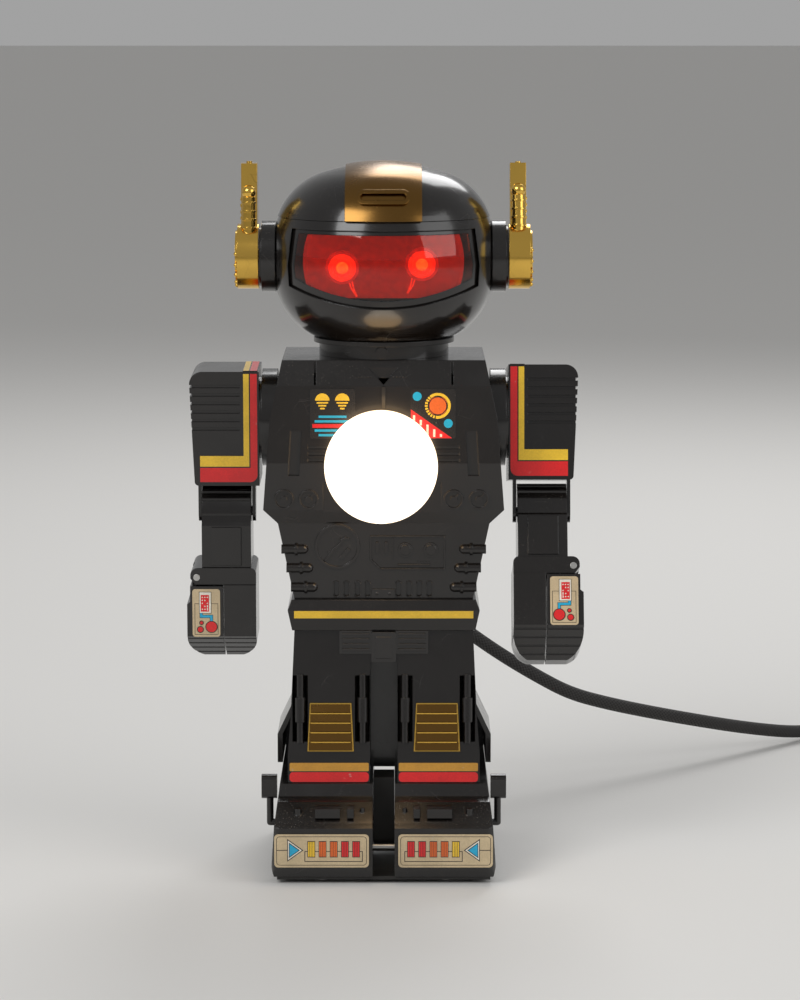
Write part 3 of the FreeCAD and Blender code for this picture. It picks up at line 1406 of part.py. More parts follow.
def least_gap(edges, diameter):
    """Smallest distance between parts of the coil's tube that aren't neighbours along it."""
    spots = []
    travelled = 0.0
    for edge in edges:
        count = max(2, int(edge.Length / 3))
        for index, point in enumerate(edge.discretize(Number=count)[:-1]):
            spots.append((travelled + edge.Length * index / (count - 1), point))
        travelled += edge.Length
    nearest = min(
        (first - second).Length
        for index, (place, first) in enumerate(spots)
        for other, second in spots[index + 1:]
        if other - place > 6 * diameter
    )
    return nearest - diameter


def cord_and_plug():
    x, z = s.cord_x, s.cord_level
    bush = rod("GlandBush", "Y", (x, s.gland_face - 4, z), 4, 4.95)
    flange = rod("GlandFlange", "Y", (x, s.gland_face, z), 2, 7.6)
    node("cord_gland", join("CordGland", bush, flange))
    sleeve_start = s.gland_face + 2
    sleeve = taper("Sleeve", "Y", (x, sleeve_start, z), s.cord_exit - sleeve_start, 5.4, 3.7)
    rings = [cut(f"SleeveRing{row}",
                 rod(f"RingCut{row}", "Y", (x, sleeve_start + 5 + 3.4 * row, z), 1.2, 7),
                 rod(f"RingCore{row}", "Y", (x, sleeve_start + 4 + 3.4 * row, z), 4, 4.3 - 0.22 * row))
             for row in range(4)]
    node("strain_relief", cut("StrainRelief", sleeve, *rings))

    radius = SIZES["cord_radius"]
    cord = document.addObject("Part::Feature", "PowerCord")
    cord.Shape = tube(rounded_route(CORD_ROUTE), radius)
    node("power_cord", cord)
    edges, finish = coil_route()
    coil = document.addObject("Part::Feature", "CordCoil")
    coil.Shape = tube(edges, radius)
    print(f"coil: least gap between turns {least_gap(edges, 2 * radius):.2f}")
    node("cord_coil", coil)

    plan = [
        (0, -5), (9, -6), (16, -14.5), (24, -17.6), (36, -17.6),
        (36, 17.6), (24, 17.6), (16, 14.5), (9, 6), (0, 5),
    ]
    body = prism("PlugBody", "XY", plan, 0, 2 * s.plug_level)
    body.Placement.Base = FreeCAD.Vector(finish.x, finish.y, 0)
    node("plug_body", body)
    pins = []
    for index, y in enumerate((-9.3, 9.3)):
        shank = rod(f"PlugPin{index}", "X", (finish.x + 36, finish.y + y, s.plug_level), 17.4, 2.0)
        tip = ball(f"PlugPinTip{index}", (finish.x + 53.4, finish.y + y, s.plug_level), 2.0)
        pins.append(join(f"PlugPinJoined{index}", shank, tip))
    node("plug_pins", group("PlugPins", *pins))


def inner_leads():
    """Two insulated wires from the holder down past the switch to the cord gland."""
    wires = []
    for index, shift in enumerate((-1.6, 1.6)):
        route = [
            (SIZES["bulb_x"] + shift, 56 - SIZES["globe_reach"], SIZES["bulb_level"]),
            (SIZES["bulb_x"] + shift, 10.0, SIZES["bulb_level"]),
            (SIZES["cord_x"] + shift, 10.0, 140.0),
            (SIZES["cord_x"] + shift, 0.0, 122.0),
            (SIZES["cord_x"] + shift, 0.0, 104.0),
            (SIZES["cord_x"] + shift, 12.0, SIZES["cord_level"]),
            (SIZES["cord_x"] + shift, SIZES["gland_face"] - 4, SIZES["cord_level"]),
        ]
        wire = document.addObject("Part::Feature", f"Lead{index}")
        wire.Shape = tube(rounded_route(route), 1.0)
        wires.append(wire)
    node("lamp_leads", group("LampLeads", *wires))


torso()
shell_screws()
back_fittings()
legs()
leg_trim()
feet()
undercarriage()
neck()
head()
antennas()
arms()
lamp()
chest_stickers()
cord_and_plug()
inner_leads()
document.recompute()

# Every object must have built, and every piece must be whole, before anything is written
failed = [thing.Name for thing in document.Objects if {"Invalid", "Error"} & set(thing.State)]
for label, thing in NODES.items():
    if thing.Shape.isNull() or not thing.Shape.isValid():
        failed.append(label)
if failed:
    raise RuntimeError("these did not build: " + ", ".join(failed))

os.makedirs("parts", exist_ok=True)
for label, thing in NODES.items():
    thing.Shape.exportStep(f"parts/{label}.step")
print(len(NODES), "pieces written")
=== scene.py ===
import json
import math

import bpy
from mathutils import Matrix, Vector


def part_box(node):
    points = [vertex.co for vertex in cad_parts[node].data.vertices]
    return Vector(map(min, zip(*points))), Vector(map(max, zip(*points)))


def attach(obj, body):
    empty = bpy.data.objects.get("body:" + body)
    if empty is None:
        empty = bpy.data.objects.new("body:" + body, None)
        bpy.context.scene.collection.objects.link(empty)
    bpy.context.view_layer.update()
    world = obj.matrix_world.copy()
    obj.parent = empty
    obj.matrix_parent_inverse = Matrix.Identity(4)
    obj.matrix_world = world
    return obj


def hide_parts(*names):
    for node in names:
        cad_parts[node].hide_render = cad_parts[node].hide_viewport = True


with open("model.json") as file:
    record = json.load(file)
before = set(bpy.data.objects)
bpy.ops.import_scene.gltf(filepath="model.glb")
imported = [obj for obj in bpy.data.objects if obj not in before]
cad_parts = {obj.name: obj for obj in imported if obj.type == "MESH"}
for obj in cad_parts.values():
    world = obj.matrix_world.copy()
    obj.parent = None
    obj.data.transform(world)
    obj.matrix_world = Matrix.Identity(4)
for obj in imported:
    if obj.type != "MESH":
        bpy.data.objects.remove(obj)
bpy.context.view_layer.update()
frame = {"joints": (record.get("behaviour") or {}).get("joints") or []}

bl_info = {
    "name": "Robot Desk Lamp",
    "version": (1, 0, 0),
    "blender": (4, 5, 0),
    "location": "3D View > Sidebar > Robot Lamp",
    "description": "Dresses a robot-shaped desk lamp with its finishes, stickers, bulb and cord",
    "category": "Object",
}

MM = 0.001


def centre(node):
    low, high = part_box(node)
    return (Vector(low) + Vector(high)) / 2


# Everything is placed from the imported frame; the neck axis is the robot's own middle
NECK_Y = centre("neck_collar").y
JOINTS = {joint["name"]: joint for joint in frame["joints"]}
LEFT_SWING, LEFT_BEND = -2.0, 0.0
RIGHT_SWING, RIGHT_BEND = 9.0, 12.0


def at(x, y, z):
    """A place in millimetres, counted along Y from the neck axis."""
    return Vector((x * MM, y * MM + NECK_Y, z * MM))


def colour_setting(name, default, description):
    return bpy.props.FloatVectorProperty(
        name=name, description=description, subtype="COLOR", size=3, min=0, max=1, default=default)


# Sizes and colours that a user would change
class LampSettings(bpy.types.PropertyGroup):
    shell_colour: colour_setting(
        "Shell colour", (0.0072, 0.0058, 0.0052), "Moulded black plastic of the robot")
    shell_roughness: bpy.props.FloatProperty(
        name="Shell roughness", description="Gloss of the moulded plastic, 0 is a mirror",
        min=0.02, max=1, default=0.17)
    gold_colour: colour_setting("Gold colour", (0.80, 0.50, 0.10), "Vacuum-plated antennas")
    visor_colour: colour_setting("Visor colour", (0.86, 0.11, 0.025), "Clear tinted visor")
    # Also sets the painted glow of the eye plate and the eye leads
    eye_glow_and_painted_spill: bpy.props.FloatProperty(
        name="Eye glow", description="Strength of the lit eyes", min=0, max=20, default=3.0)
    bulb_glow: bpy.props.FloatProperty(
        name="Bulb glow", description="Strength of the lit bulb", min=0, max=50, default=3.2)
    bulb_radius: bpy.props.FloatProperty(
        name="Bulb radius", description="Radius of the round bulb",
        subtype="DISTANCE", unit="LENGTH", min=0.01, max=0.03, default=0.0225)
    cord_diameter: bpy.props.FloatProperty(
        name="Cord diameter", description="Braided mains cord",
        subtype="DISTANCE", unit="LENGTH", min=0.004, max=0.008, default=0.006)
    cream: colour_setting(
        "Sticker cream", (0.56, 0.44, 0.27), "Ground of the foot and hand stickers")
    ink: colour_setting(
        "Sticker black", (0.012, 0.010, 0.009), "Printed lines and the chest stickers' ground")
    red: colour_setting("Sticker red", (0.70, 0.010, 0.012), "Printed red")
    orange: colour_setting("Sticker orange", (0.72, 0.13, 0.015), "Printed orange")
    yellow: colour_setting("Sticker yellow", (0.82, 0.52, 0.03), "Printed yellow")
    ochre: colour_setting("Sticker ochre", (0.55, 0.27, 0.03), "Gold-brown bands of the legs")
    cyan: colour_setting("Sticker blue", (0.01, 0.38, 0.62), "Printed light blue")
    white: colour_setting("Sticker white", (0.80, 0.76, 0.66), "Printed white")


def settings():
    return bpy.context.scene.robot_lamp


# Shader effects shared by the finishes, each a node group
def effect(name, inputs, outputs):
    """An empty shader group with float inputs and named outputs; gives it with its two ends."""
    tree = bpy.data.node_groups.new(name, "ShaderNodeTree")
    for label, default in inputs.items():
        socket = tree.interface.new_socket(label, in_out="INPUT", socket_type="NodeSocketFloat")
        socket.default_value = default
    for label, kind in outputs.items():
        tree.interface.new_socket(label, in_out="OUTPUT", socket_type=kind)
    return tree, tree.nodes.new("NodeGroupInput"), tree.nodes.new("NodeGroupOutput")


def maths(tree, operation, first, second=None, third=None):
    node = tree.nodes.new("ShaderNodeMath")
    node.operation = operation
    for socket, value in zip(node.inputs, (first, second, third)):
        if value is None:
            continue
        if isinstance(value, (int, float)):
            socket.default_value = value
        else:
            tree.links.new(value, socket)
    return node.outputs[0]


def spread(tree, value, low, high, to_low=0.0, to_high=1.0):
    """Map a value from one range to another, held at both ends."""
    node = tree.nodes.new("ShaderNodeMapRange")
    tree.links.new(value, node.inputs["Value"])
    node.inputs["From Min"].default_value = low
    node.inputs["From Max"].default_value = high
    node.inputs["To Min"].default_value = to_low
    node.inputs["To Max"].default_value = to_high
    return node.outputs["Result"]


def noise(tree, scale, detail=2.0, distortion=0.0):
    """Noise on the object's own coordinates."""
    node = tree.nodes.new("ShaderNodeTexNoise")
    node.inputs["Scale"].default_value = scale
    node.inputs["Detail"].default_value = detail
    node.inputs["Distortion"].default_value = distortion
    place = tree.nodes.new("ShaderNodeTexCoord").outputs["Object"]
    tree.links.new(place, node.inputs["Vector"])
    return node


def patches(tree, scale, detail, low, high, to_low=0.0, to_high=1.0, distortion=0.0):
    """Noise spread from one range to another."""
    return spread(tree, noise(tree, scale, detail, distortion).outputs["Fac"],
                  low, high, to_low, to_high)


def scaled(tree, colour, factor):
    """A colour made darker or lighter by a value."""
    shade = tree.nodes.new("ShaderNodeVectorMath")
    shade.operation = "SCALE"
    shade.inputs[0].default_value = colour
    tree.links.new(factor, shade.inputs["Scale"])
    return shade.outputs[0]


def roughen(tree, shader, rough, *shares):
    """Roughness from a plain value and a share of each mask."""
    for mask, share in shares:
        rough = maths(tree, "MULTIPLY_ADD", mask, share, rough)
    tree.links.new(rough, shader.inputs["Roughness"])


def scuffs_effect():
    """Fine scratches, finger smears and settled dust on a glossy surface."""
    tree, given, made = effect(
        "Scuffs and dust", {"Scratches": 0.5, "Smears": 0.5, "Dust": 0.3},
        {"Scratch": "NodeSocketFloat", "Smear": "NodeSocketFloat", "Dust": "NodeSocketFloat"})
    place = tree.nodes.new("ShaderNodeTexCoord").outputs["Object"]
    bend = noise(tree, 35.0, 3.0)
    shift = tree.nodes.new("ShaderNodeVectorMath")
    shift.operation = "MULTIPLY_ADD"
    shift.inputs[1].default_value = (0.012, 0.012, 0.012)
    tree.links.new(bend.outputs["Color"], shift.inputs[0])
    tree.links.new(place, shift.inputs[2])
    lines = []
    for scale, turn in ((80.0, (0.3, 0.9, 0.2)), (140.0, (1.1, 0.4, 0.8))):
        mapping = tree.nodes.new("ShaderNodeMapping")
        mapping.inputs["Rotation"].default_value = turn
        mapping.inputs["Scale"].default_value = (1.0, 0.35, 1.0)
        tree.links.new(shift.outputs[0], mapping.inputs["Vector"])
        cells = tree.nodes.new("ShaderNodeTexVoronoi")
        cells.feature = "DISTANCE_TO_EDGE"
        cells.inputs["Scale"].default_value = scale
        tree.links.new(mapping.outputs[0], cells.inputs["Vector"])
        lines.append(spread(tree, cells.outputs["Distance"], 0.0, 0.009, 1.0, 0.0))
    both = maths(tree, "MAXIMUM", lines[0], lines[1])
    broken = patches(tree, 70.0, 4.0, 0.56, 0.64)
    scratch = maths(tree, "MULTIPLY", maths(tree, "MULTIPLY", both, broken),
                    given.outputs["Scratches"])
    smear = patches(tree, 28.0, 5.0, 0.42, 0.72, distortion=1.2)
    smear = maths(tree, "MULTIPLY", smear, given.outputs["Smears"])
    up = tree.nodes.new("ShaderNodeSeparateXYZ")
    tree.links.new(tree.nodes.new("ShaderNodeNewGeometry").outputs["Normal"], up.inputs[0])
    facing = spread(tree, up.outputs["Z"], 0.15, 1.0, 0.12, 1.0)
    specks = patches(tree, 1500.0, 2.0, 0.62, 0.74)
    settled = patches(tree, 40.0, 4.0, 0.35, 0.7)
    dust = maths(tree, "MULTIPLY", maths(tree, "MULTIPLY", specks, facing), settled)
    dust = maths(tree, "MULTIPLY", dust, given.outputs["Dust"])
    for label, mask in (("Scratch", scratch), ("Smear", smear), ("Dust", dust)):
        tree.links.new(mask, made.inputs[label])
    return tree


def skin_effect():
    """The slight ripple and sink of injection-moulded plastic, as a height."""
    tree, given, made = effect("Moulded skin", {"Ripple": 0.5, "Grain": 0.5},
                               {"Height": "NodeSocketFloat"})
    ripple, grain = (
        maths(tree, "MULTIPLY", noise(tree, scale, detail).outputs["Fac"], given.outputs[label])
        for scale, detail, label in ((60.0, 1.0, "Ripple"), (900.0, 2.0, "Grain")))
    tree.links.new(maths(tree, "ADD", ripple, maths(tree, "MULTIPLY", grain, 0.04)),
                   made.inputs["Height"])
    return tree


def print_effect():
    """Ink on a foil sticker: fine grain, faded patches and worn spots."""
    tree, given, made = effect("Printed foil", {"Fade": 0.3},
                               {"Tone": "NodeSocketFloat", "Wear": "NodeSocketFloat"})
    grain = patches(tree, 1800.0, 2.0, 0.3, 0.7, 0.9, 1.06)
    patch = patches(tree, 90.0, 3.0, 0.35, 0.7, 1.05, 0.86)
    wear = patches(tree, 420.0, 5.0, 0.70, 0.78, distortion=0.6)
    tree.links.new(maths(tree, "MULTIPLY", grain, patch), made.inputs["Tone"])
    tree.links.new(maths(tree, "MULTIPLY", wear, given.outputs["Fade"]), made.inputs["Wear"])
    return tree


def braid_effect():
    """A woven sleeve, read from the cord's own UV map: along it in metres, round it in turns."""
    tree, given, made = effect("Braided sleeve", {"Pitch": 0.0042, "Strands": 12.0},
                               {"Height": "NodeSocketFloat", "Shade": "NodeSocketFloat"})
    spot = tree.nodes.new("ShaderNodeSeparateXYZ")
    tree.links.new(tree.nodes.new("ShaderNodeTexCoord").outputs["UV"], spot.inputs[0])
    along = maths(tree, "DIVIDE", spot.outputs["X"], given.outputs["Pitch"])
    turn = maths(tree, "MULTIPLY", spot.outputs["Y"], given.outputs["Strands"])
    waves = []
    for sign in ("ADD", "SUBTRACT"):
        phase = maths(tree, sign, maths(tree, "MULTIPLY", along, 2.0), turn)
        phase = maths(tree, "MULTIPLY", phase, math.pi)
        waves.append(maths(tree, "ABSOLUTE", maths(tree, "SINE", phase)))
    weave = maths(tree, "MAXIMUM", waves[0], waves[1])
    gaps = maths(tree, "MULTIPLY", waves[0], waves[1])
    height = maths(tree, "MULTIPLY_ADD", weave, 0.6, maths(tree, "MULTIPLY", gaps, 0.5))
    tree.links.new(height, made.inputs["Height"])
    # Painted shade in the gaps between strands and a painted highlight on the strand tops
    tree.links.new(spread(tree, height, 0.2, 1.0, 0.45, 1.15), made.inputs["Shade"])
    return tree


EFFECT_MAKERS = {"scuffs": scuffs_effect, "skin": skin_effect, "print": print_effect,
                 "braid": braid_effect}
EFFECTS = {}


def use_effect(tree, name, **values):
    """Place a shared effect in a material's tree, building it the first time."""
    if name not in EFFECTS:
        EFFECTS[name] = EFFECT_MAKERS[name]()
    node = tree.nodes.new("ShaderNodeGroup")
    node.node_tree = EFFECTS[name]
    for label, value in values.items():
        node.inputs[label.replace("_", " ").capitalize()].default_value = value
    return node


# Finishes
FINISHES = {}
PLASTIC_DUST, METAL_DUST, WORN_INK = (0.30, 0.27, 0.23), (0.35, 0.3, 0.22), (0.45, 0.40, 0.33)
BUMP_STRENGTH = 0.12


def start_finish(name, colour, roughness, **plain):
    """A material with its Principled shader's plain values set; gives its tree and shader."""
    material = bpy.data.materials.new(name)
    material.use_nodes = True
    shader = material.node_tree.nodes["Principled BSDF"]
    shader.inputs["Base Color"].default_value = (*colour, 1.0)
    shader.inputs["Roughness"].default_value = roughness
    for label, value in plain.items():
        shader.inputs[label.replace("_", " ").title().replace("Ior", "IOR")].default_value = value
    FINISHES[name] = material
    return material.node_tree, shader


def mix_colours(tree, factor, first, second):
    node = tree.nodes.new("ShaderNodeMix")
    node.data_type = "RGBA"
    tree.links.new(factor, node.inputs["Factor"])
    for socket, value in ((node.inputs[6], first), (node.inputs[7], second)):
        if isinstance(value, tuple):
            socket.default_value = (*value, 1.0)
        else:
            tree.links.new(value, socket)
    return node.outputs[2]


def bump(tree, shader, height, strength, depth, normal=None):
    node = tree.nodes.new("ShaderNodeBump")
    node.inputs["Strength"].default_value = strength
    node.inputs["Distance"].default_value = depth
    tree.links.new(height, node.inputs["Height"])
    if normal is not None:
        tree.links.new(normal, node.inputs["Normal"])
    tree.links.new(node.outputs[0], shader.inputs["Normal"])


def soft_edges(tree, shader, radius, height, depth):
    """Round the moulded edges in the shading, with a bump on top."""
    bevel = tree.nodes.new("ShaderNodeBevel")
    bevel.samples = 4
    bevel.inputs["Radius"].default_value = radius
    bump(tree, shader, height, BUMP_STRENGTH, depth, bevel.outputs[0])


def moulded(name, colour, roughness, scratches=0.3, dust=0.35, grain=0.3, **plain):
    """Glossy moulded plastic with worn edges, scratches, smears and dust."""
    tree, shader = start_finish(name, colour, roughness, **plain)
    wear = use_effect(tree, "scuffs", scratches=scratches, smears=0.5, dust=dust).outputs
    pale = tuple(min(1.0, part * 3 + 0.03) for part in colour)
    scratched = mix_colours(tree, wear["Scratch"], colour, pale)
    tree.links.new(mix_colours(tree, wear["Dust"], scratched, PLASTIC_DUST),
                   shader.inputs["Base Color"])
    roughen(tree, shader, roughness, (wear["Smear"], 0.22), (wear["Scratch"], 0.35),
            (wear["Dust"], 0.5))
    skin = use_effect(tree, "skin", ripple=0.5, grain=grain)
    height = maths(tree, "SUBTRACT", skin.outputs["Height"],
                   maths(tree, "MULTIPLY", wear["Scratch"], 0.15))
    soft_edges(tree, shader, 0.00045, height, 0.0006)


def printed(name, colour, roughness):
    """Ink or foil of a sticker."""
    tree, shader = start_finish(name, colour, roughness, coat_weight=0.35, coat_roughness=0.2)
    ink = use_effect(tree, "print", fade=0.5).outputs
    worn = mix_colours(tree, ink["Wear"], scaled(tree, colour, ink["Tone"]), WORN_INK)
    tree.links.new(worn, shader.inputs["Base Color"])
    roughen(tree, shader, roughness + 0.3, (ink["Tone"], -0.3))


def metal(name, colour, roughness, scratches=0.5):
    """Plated or bare metal, duller where it is smeared and dusty."""
    tree, shader = start_finish(name, colour, roughness, metallic=1.0)
    wear = use_effect(tree, "scuffs", scratches=scratches, smears=0.6, dust=0.2).outputs
    tone = colour
    for mask, share in (("Smear", 0.82), ("Scratch", 0.5)):
        tone = mix_colours(tree, wear[mask], tone, tuple(part * share for part in colour))
    tree.links.new(mix_colours(tree, wear["Dust"], tone, METAL_DUST), shader.inputs["Base Color"])
    roughen(tree, shader, roughness, (wear["Smear"], 0.18), (wear["Dust"], 0.5))
    skin = use_effect(tree, "skin", ripple=0.7, grain=0.4)
    soft_edges(tree, shader, 0.0003, skin.outputs["Height"], 0.0005)


def make_finishes():
    look = settings()
    shell = tuple(look.shell_colour)
    moulded("black plastic", shell, look.shell_roughness, coat_weight=0.25, coat_roughness=0.06)
    moulded("matt black plastic", (0.016, 0.015, 0.014), 0.48, dust=0.6, grain=1.2)
    moulded("black rubber", (0.014, 0.013, 0.013), 0.62, scratches=0.2, dust=0.7, grain=2.0)
    # Crest and leg grilles: plated like the antennas; their darker base colour is a painted reflection
    # of a dark room
    metal("gold darkened by painted reflection", (0.20, 0.105, 0.028), 0.20, scratches=0.3)
    moulded("holder bakelite", (0.030, 0.018, 0.012), 0.30)
    metal("plated gold", tuple(look.gold_colour), 0.13)
    metal("zinc steel", (0.55, 0.54, 0.52), 0.30)
    metal("bright cap metal", (0.72, 0.70, 0.66), 0.22)
    metal("nickel pins", (0.74, 0.70, 0.60), 0.20)
    for name in ("cream", "ink", "red", "orange", "yellow", "ochre", "cyan", "white"):
        printed(name, tuple(getattr(look, name)), 0.26 if name == "ink" else 0.32)

    tree, shader = start_finish("amber visor", tuple(look.visor_colour), 0.03, ior=1.49,
                                transmission_weight=1.0)
    wear = use_effect(tree, "scuffs", scratches=0.35, smears=0.3, dust=0.15).outputs
    roughen(tree, shader, 0.02, (wear["Scratch"], 0.2), (wear["Smear"], 0.04))

    tree, shader = start_finish("opal bulb glass", (0.92, 0.90, 0.86), 0.14, coat_weight=0.6)
    shader.inputs["Emission Strength"].default_value = look.bulb_glow
    tree.links.new(patches(tree, 240.0, 3.0, 0.3, 0.7, 0.10, 0.22), shader.inputs["Roughness"])
    depth = tree.nodes.new("ShaderNodeSeparateXYZ")
    tree.links.new(tree.nodes.new("ShaderNodeTexCoord").outputs["Object"], depth.inputs[0])
    back = spread(tree, depth.outputs["Y"], at(0, -76, 0).y, at(0, -50, 0).y)
    tree.links.new(mix_colours(tree, back, (1.0, 0.94, 0.82), (1.0, 0.66, 0.34)),
                   shader.inputs["Emission Color"])

    # The eye lenses glow as lamps; the eye plate's emission is a painted glow of their light
    for name, colour, share in (("eye rim glass", (0.60, 0.05, 0.02), 0.22),
                                ("eye red glass", (0.90, 0.10, 0.03), 0.55),
                                ("eye lit glass", (1.0, 0.36, 0.12), 0.9),
                                ("eye plate with painted glow", (0.42, 0.05, 0.012), 0.16)):
        tree, shader = start_finish(name, colour, 0.08, coat_weight=0.5)
        facets = patches(tree, 420.0, 2.0, 0.3, 0.7, 0.5, 1.2)
        tree.links.new(scaled(tree, colour, facets), shader.inputs["Emission Color"])
        shader.inputs["Emission Strength"].default_value = look.eye_glow_and_painted_spill * share
    # The eye leads get a painted glow of the eyes' light through emission
    tree, shader = start_finish("copper leads with painted glow", (0.9, 0.25, 0.06), 0.3, metallic=0.6)
    shader.inputs["Emission Color"].default_value = (1.0, 0.16, 0.03, 1.0)
    shader.inputs["Emission Strength"].default_value = look.eye_glow_and_painted_spill * 0.25
    tree.links.new(patches(tree, 900.0, 2.0, 0.3, 0.7, 0.2, 0.4), shader.inputs["Roughness"])
    moulded("brown wire sleeve", (0.10, 0.045, 0.02), 0.45)

    tree, shader = start_finish("braided black textile", (0.016, 0.015, 0.015), 0.7)
    sleeve = use_effect(tree, "braid").outputs
    lint = patches(tree, 2600.0, 2.0, 0.66, 0.76, 0.0, 0.5)
    # Thread colour with the braid's painted shade and painted highlight
    thread_with_painted_shade = scaled(tree, (0.022, 0.020, 0.019), sleeve["Shade"])
    tree.links.new(mix_colours(tree, lint, thread_with_painted_shade, (0.16, 0.14, 0.12)),
                   shader.inputs["Base Color"])
    tree.links.new(spread(tree, sleeve["Height"], 0.2, 1.0, 0.85, 0.55),
                   shader.inputs["Roughness"])
    bump(tree, shader, sleeve["Height"], 0.7, 0.0004)


# Mesh making
def piece(name, vertices, faces, finishes, body, replaces=(), marks=None, smooth=0.0):
    """A mesh object that rides on a body; marks gives each face its finish."""
    mesh = bpy.data.meshes.new(name)
    mesh.from_pydata([tuple(vertex) for vertex in vertices], [], faces)
    for finish in finishes:
        mesh.materials.append(FINISHES[finish])
    if marks:
        mesh.polygons.foreach_set("material_index", marks)
    mesh.update()
    thing = bpy.data.objects.new(name, mesh)
    bpy.context.scene.collection.objects.link(thing)
    if smooth:
        mesh.shade_smooth()
        mesh.set_sharp_from_angle(angle=math.radians(smooth))
    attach(thing, body)
    if replaces:
        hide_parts(*replaces)
    return thing


def add_part(vertices, faces, made, rings):
    """Join a part's vertices and faces to the lists of a piece."""
    first = len(vertices)
    vertices += made
    faces += [[first + corner for corner in face] for face in rings]


def lathe(profile, steps, place):
    """Vertices and faces of (radius, height) points turned about the axis of a placing matrix."""
    vertices, faces, rows = [], [], []
    for radius, height in profile:
        if radius < 1e-9:
            rows.append([len(vertices)] * steps)
            vertices.append(place @ Vector((0, 0, height)))
            continue
        rows.append(list(range(len(vertices), len(vertices) + steps)))
        for step in range(steps):
            angle = 2 * math.pi * step / steps
            vertices.append(
                place @ Vector((radius * math.cos(angle), radius * math.sin(angle), height)))
    for lower, upper in zip(rows, rows[1:]):
        for step in range(steps):
            following = (step + 1) % steps
            ring = [lower[step], lower[following], upper[following], upper[step]]
            face = [corner for index, corner in enumerate(ring) if corner not in ring[:index]]
            if len(face) > 2:
                faces.append(face)
    return vertices, faces


# Flat artwork: shapes in millimetres, right and up from a sticker's lower left corner
def rectangle(left, low, right, high, corner=0.0):
    if not corner:
        return [(left, low), (right, low), (right, high), (left, high)]
    points = []
    for x, y, start in ((right - corner, low + corner, -90), (right - corner, high - corner, 0),
                        (left + corner, high - corner, 90), (left + corner, low + corner, 180)):
        for step in range(7):
            angle = math.radians(start + 15 * step)
            points.append((x + corner * math.cos(angle), y + corner * math.sin(angle)))
    return points


def disc(x, y, radius, start=0, finish=360, inner=0.0):
    """A disc, or a part of a ring between two angles."""
    steps = max(6, int((finish - start) / 10))
    whole = finish - start >= 360
    angles = [math.radians(start + (finish - start) * step / steps)
              for step in range(steps if whole and not inner else steps + 1)]
    points = [(x + radius * math.cos(a), y + radius * math.sin(a)) for a in angles]
    if inner:
        points += [(x + inner * math.cos(a), y + inner * math.sin(a)) for a in reversed(angles)]
    return points


def stroke(points, width, closed=False):
    """A line of even width with mitred corners, as one outline for each side joined up."""
    count = len(points)
    left, right = [], []
    for index, point in enumerate(points):
        here = Vector(point)
        before = Vector(points[index - 1]) if index or closed else None
        after = Vector(points[(index + 1) % count]) if index < count - 1 or closed else None
        ways = [way.normalized() for way in (
            here - before if before is not None else None,
            after - here if after is not None else None) if way is not None]
        sides = [Vector((-way.y, way.x)) for way in ways]
        mitre = sum(sides, Vector((0, 0)))
        mitre.normalize()
        mitre *= width / 2 / max(0.3, mitre.dot(sides[0]))
        left.append(tuple(here + mitre))
        right.append(tuple(here - mitre))
    if closed:
        return [[left[i], left[(i + 1) % count], right[(i + 1) % count], right[i]]
                for i in range(count)]
    return [[left[i], left[i + 1], right[i + 1], right[i]] for i in range(count - 1)]


class Sticker:
    """A printed sticker on a plane; each layer of ink lies a hair above the last."""

    def __init__(self, name, corner, right, up, mirror_width=None):
        self.name = name
        self.corner, self.right, self.up = corner, right.normalized(), up.normalized()
        self.out = self.right.cross(self.up)
        self.mirror_width = mirror_width
        self.vertices, self.faces, self.marks, self.finishes = [], [], [], []

    def point(self, x, y, height):
        if self.mirror_width is not None:
            x = self.mirror_width - x
        return self.corner + (self.right * x + self.up * y + self.out * height) * MM

    def mark(self, finish):
        if finish not in self.finishes:
            self.finishes.append(finish)
        return self.finishes.index(finish)

    def base(self, outline, finish, thickness):
        """The sticker's own body, from the surface under it to its face."""
        count, first = len(outline), len(self.vertices)
        for height in (0.0, thickness):
            self.vertices += [self.point(x, y, height) for x, y in outline]
        walls = [[first + i, first + (i + 1) % count, first + count + (i + 1) % count,
                  first + count + i] for i in range(count)]
        top = [first + count + i for i in range(count)]
        bottom = [first + i for i in reversed(range(count))]
        self.add_faces(walls + [top, bottom], finish)
        self.level = thickness

    def ink(self, outlines, finish, layer=1):
        """Print one outline, or a list of them, in a colour."""
        if isinstance(outlines[0][0], (int, float)):
            outlines = [outlines]
        for outline in outlines:
            first = len(self.vertices)
            height = self.level + 0.03 * layer
            self.vertices += [self.point(x, y, height) for x, y in outline]
            self.add_faces([[first + i for i in range(len(outline))]], finish)

    def add_faces(self, faces, finish):
        mark = self.mark(finish)
        for face in faces:
            self.faces.append(face if self.mirror_width is None else list(reversed(face)))
            self.marks.append(mark)

    def stick(self, body, replaces=(), slot=None):
        return piece(self.name, self.vertices, self.faces, self.finishes, body, replaces,
                     self.marks)


def joined(name, stickers, body, replaces=(), slot=None):
    """Several stickers as one piece."""
    whole = stickers[0]
    whole.name = name
    for other in stickers[1:]:
        first = len(whole.vertices)
        whole.vertices += other.vertices
        for face, mark in zip(other.faces, other.marks):
            whole.faces.append([first + corner for corner in face])
            whole.marks.append(whole.mark(other.finishes[mark]))
    return whole.stick(body, replaces, slot)


RIGHT, UP, BACK = Vector((1, 0, 0)), Vector((0, 0, 1)), Vector((0, 1, 0))
FOIL = 0.3                     # thickness of a sticker in millimetres
CHEST_LEAN, BAND_LEAN, LEG_LEAN = 4.06, 6.44, 6.49
CHEST_WIDE, FOOT_WIDE, BAND_WIDE = 18.2, 38.0, 32.4


def leaning(degrees):
    """Up along a face that leans back by an angle."""
    return Vector((0, math.sin(math.radians(degrees)), math.cos(math.radians(degrees))))


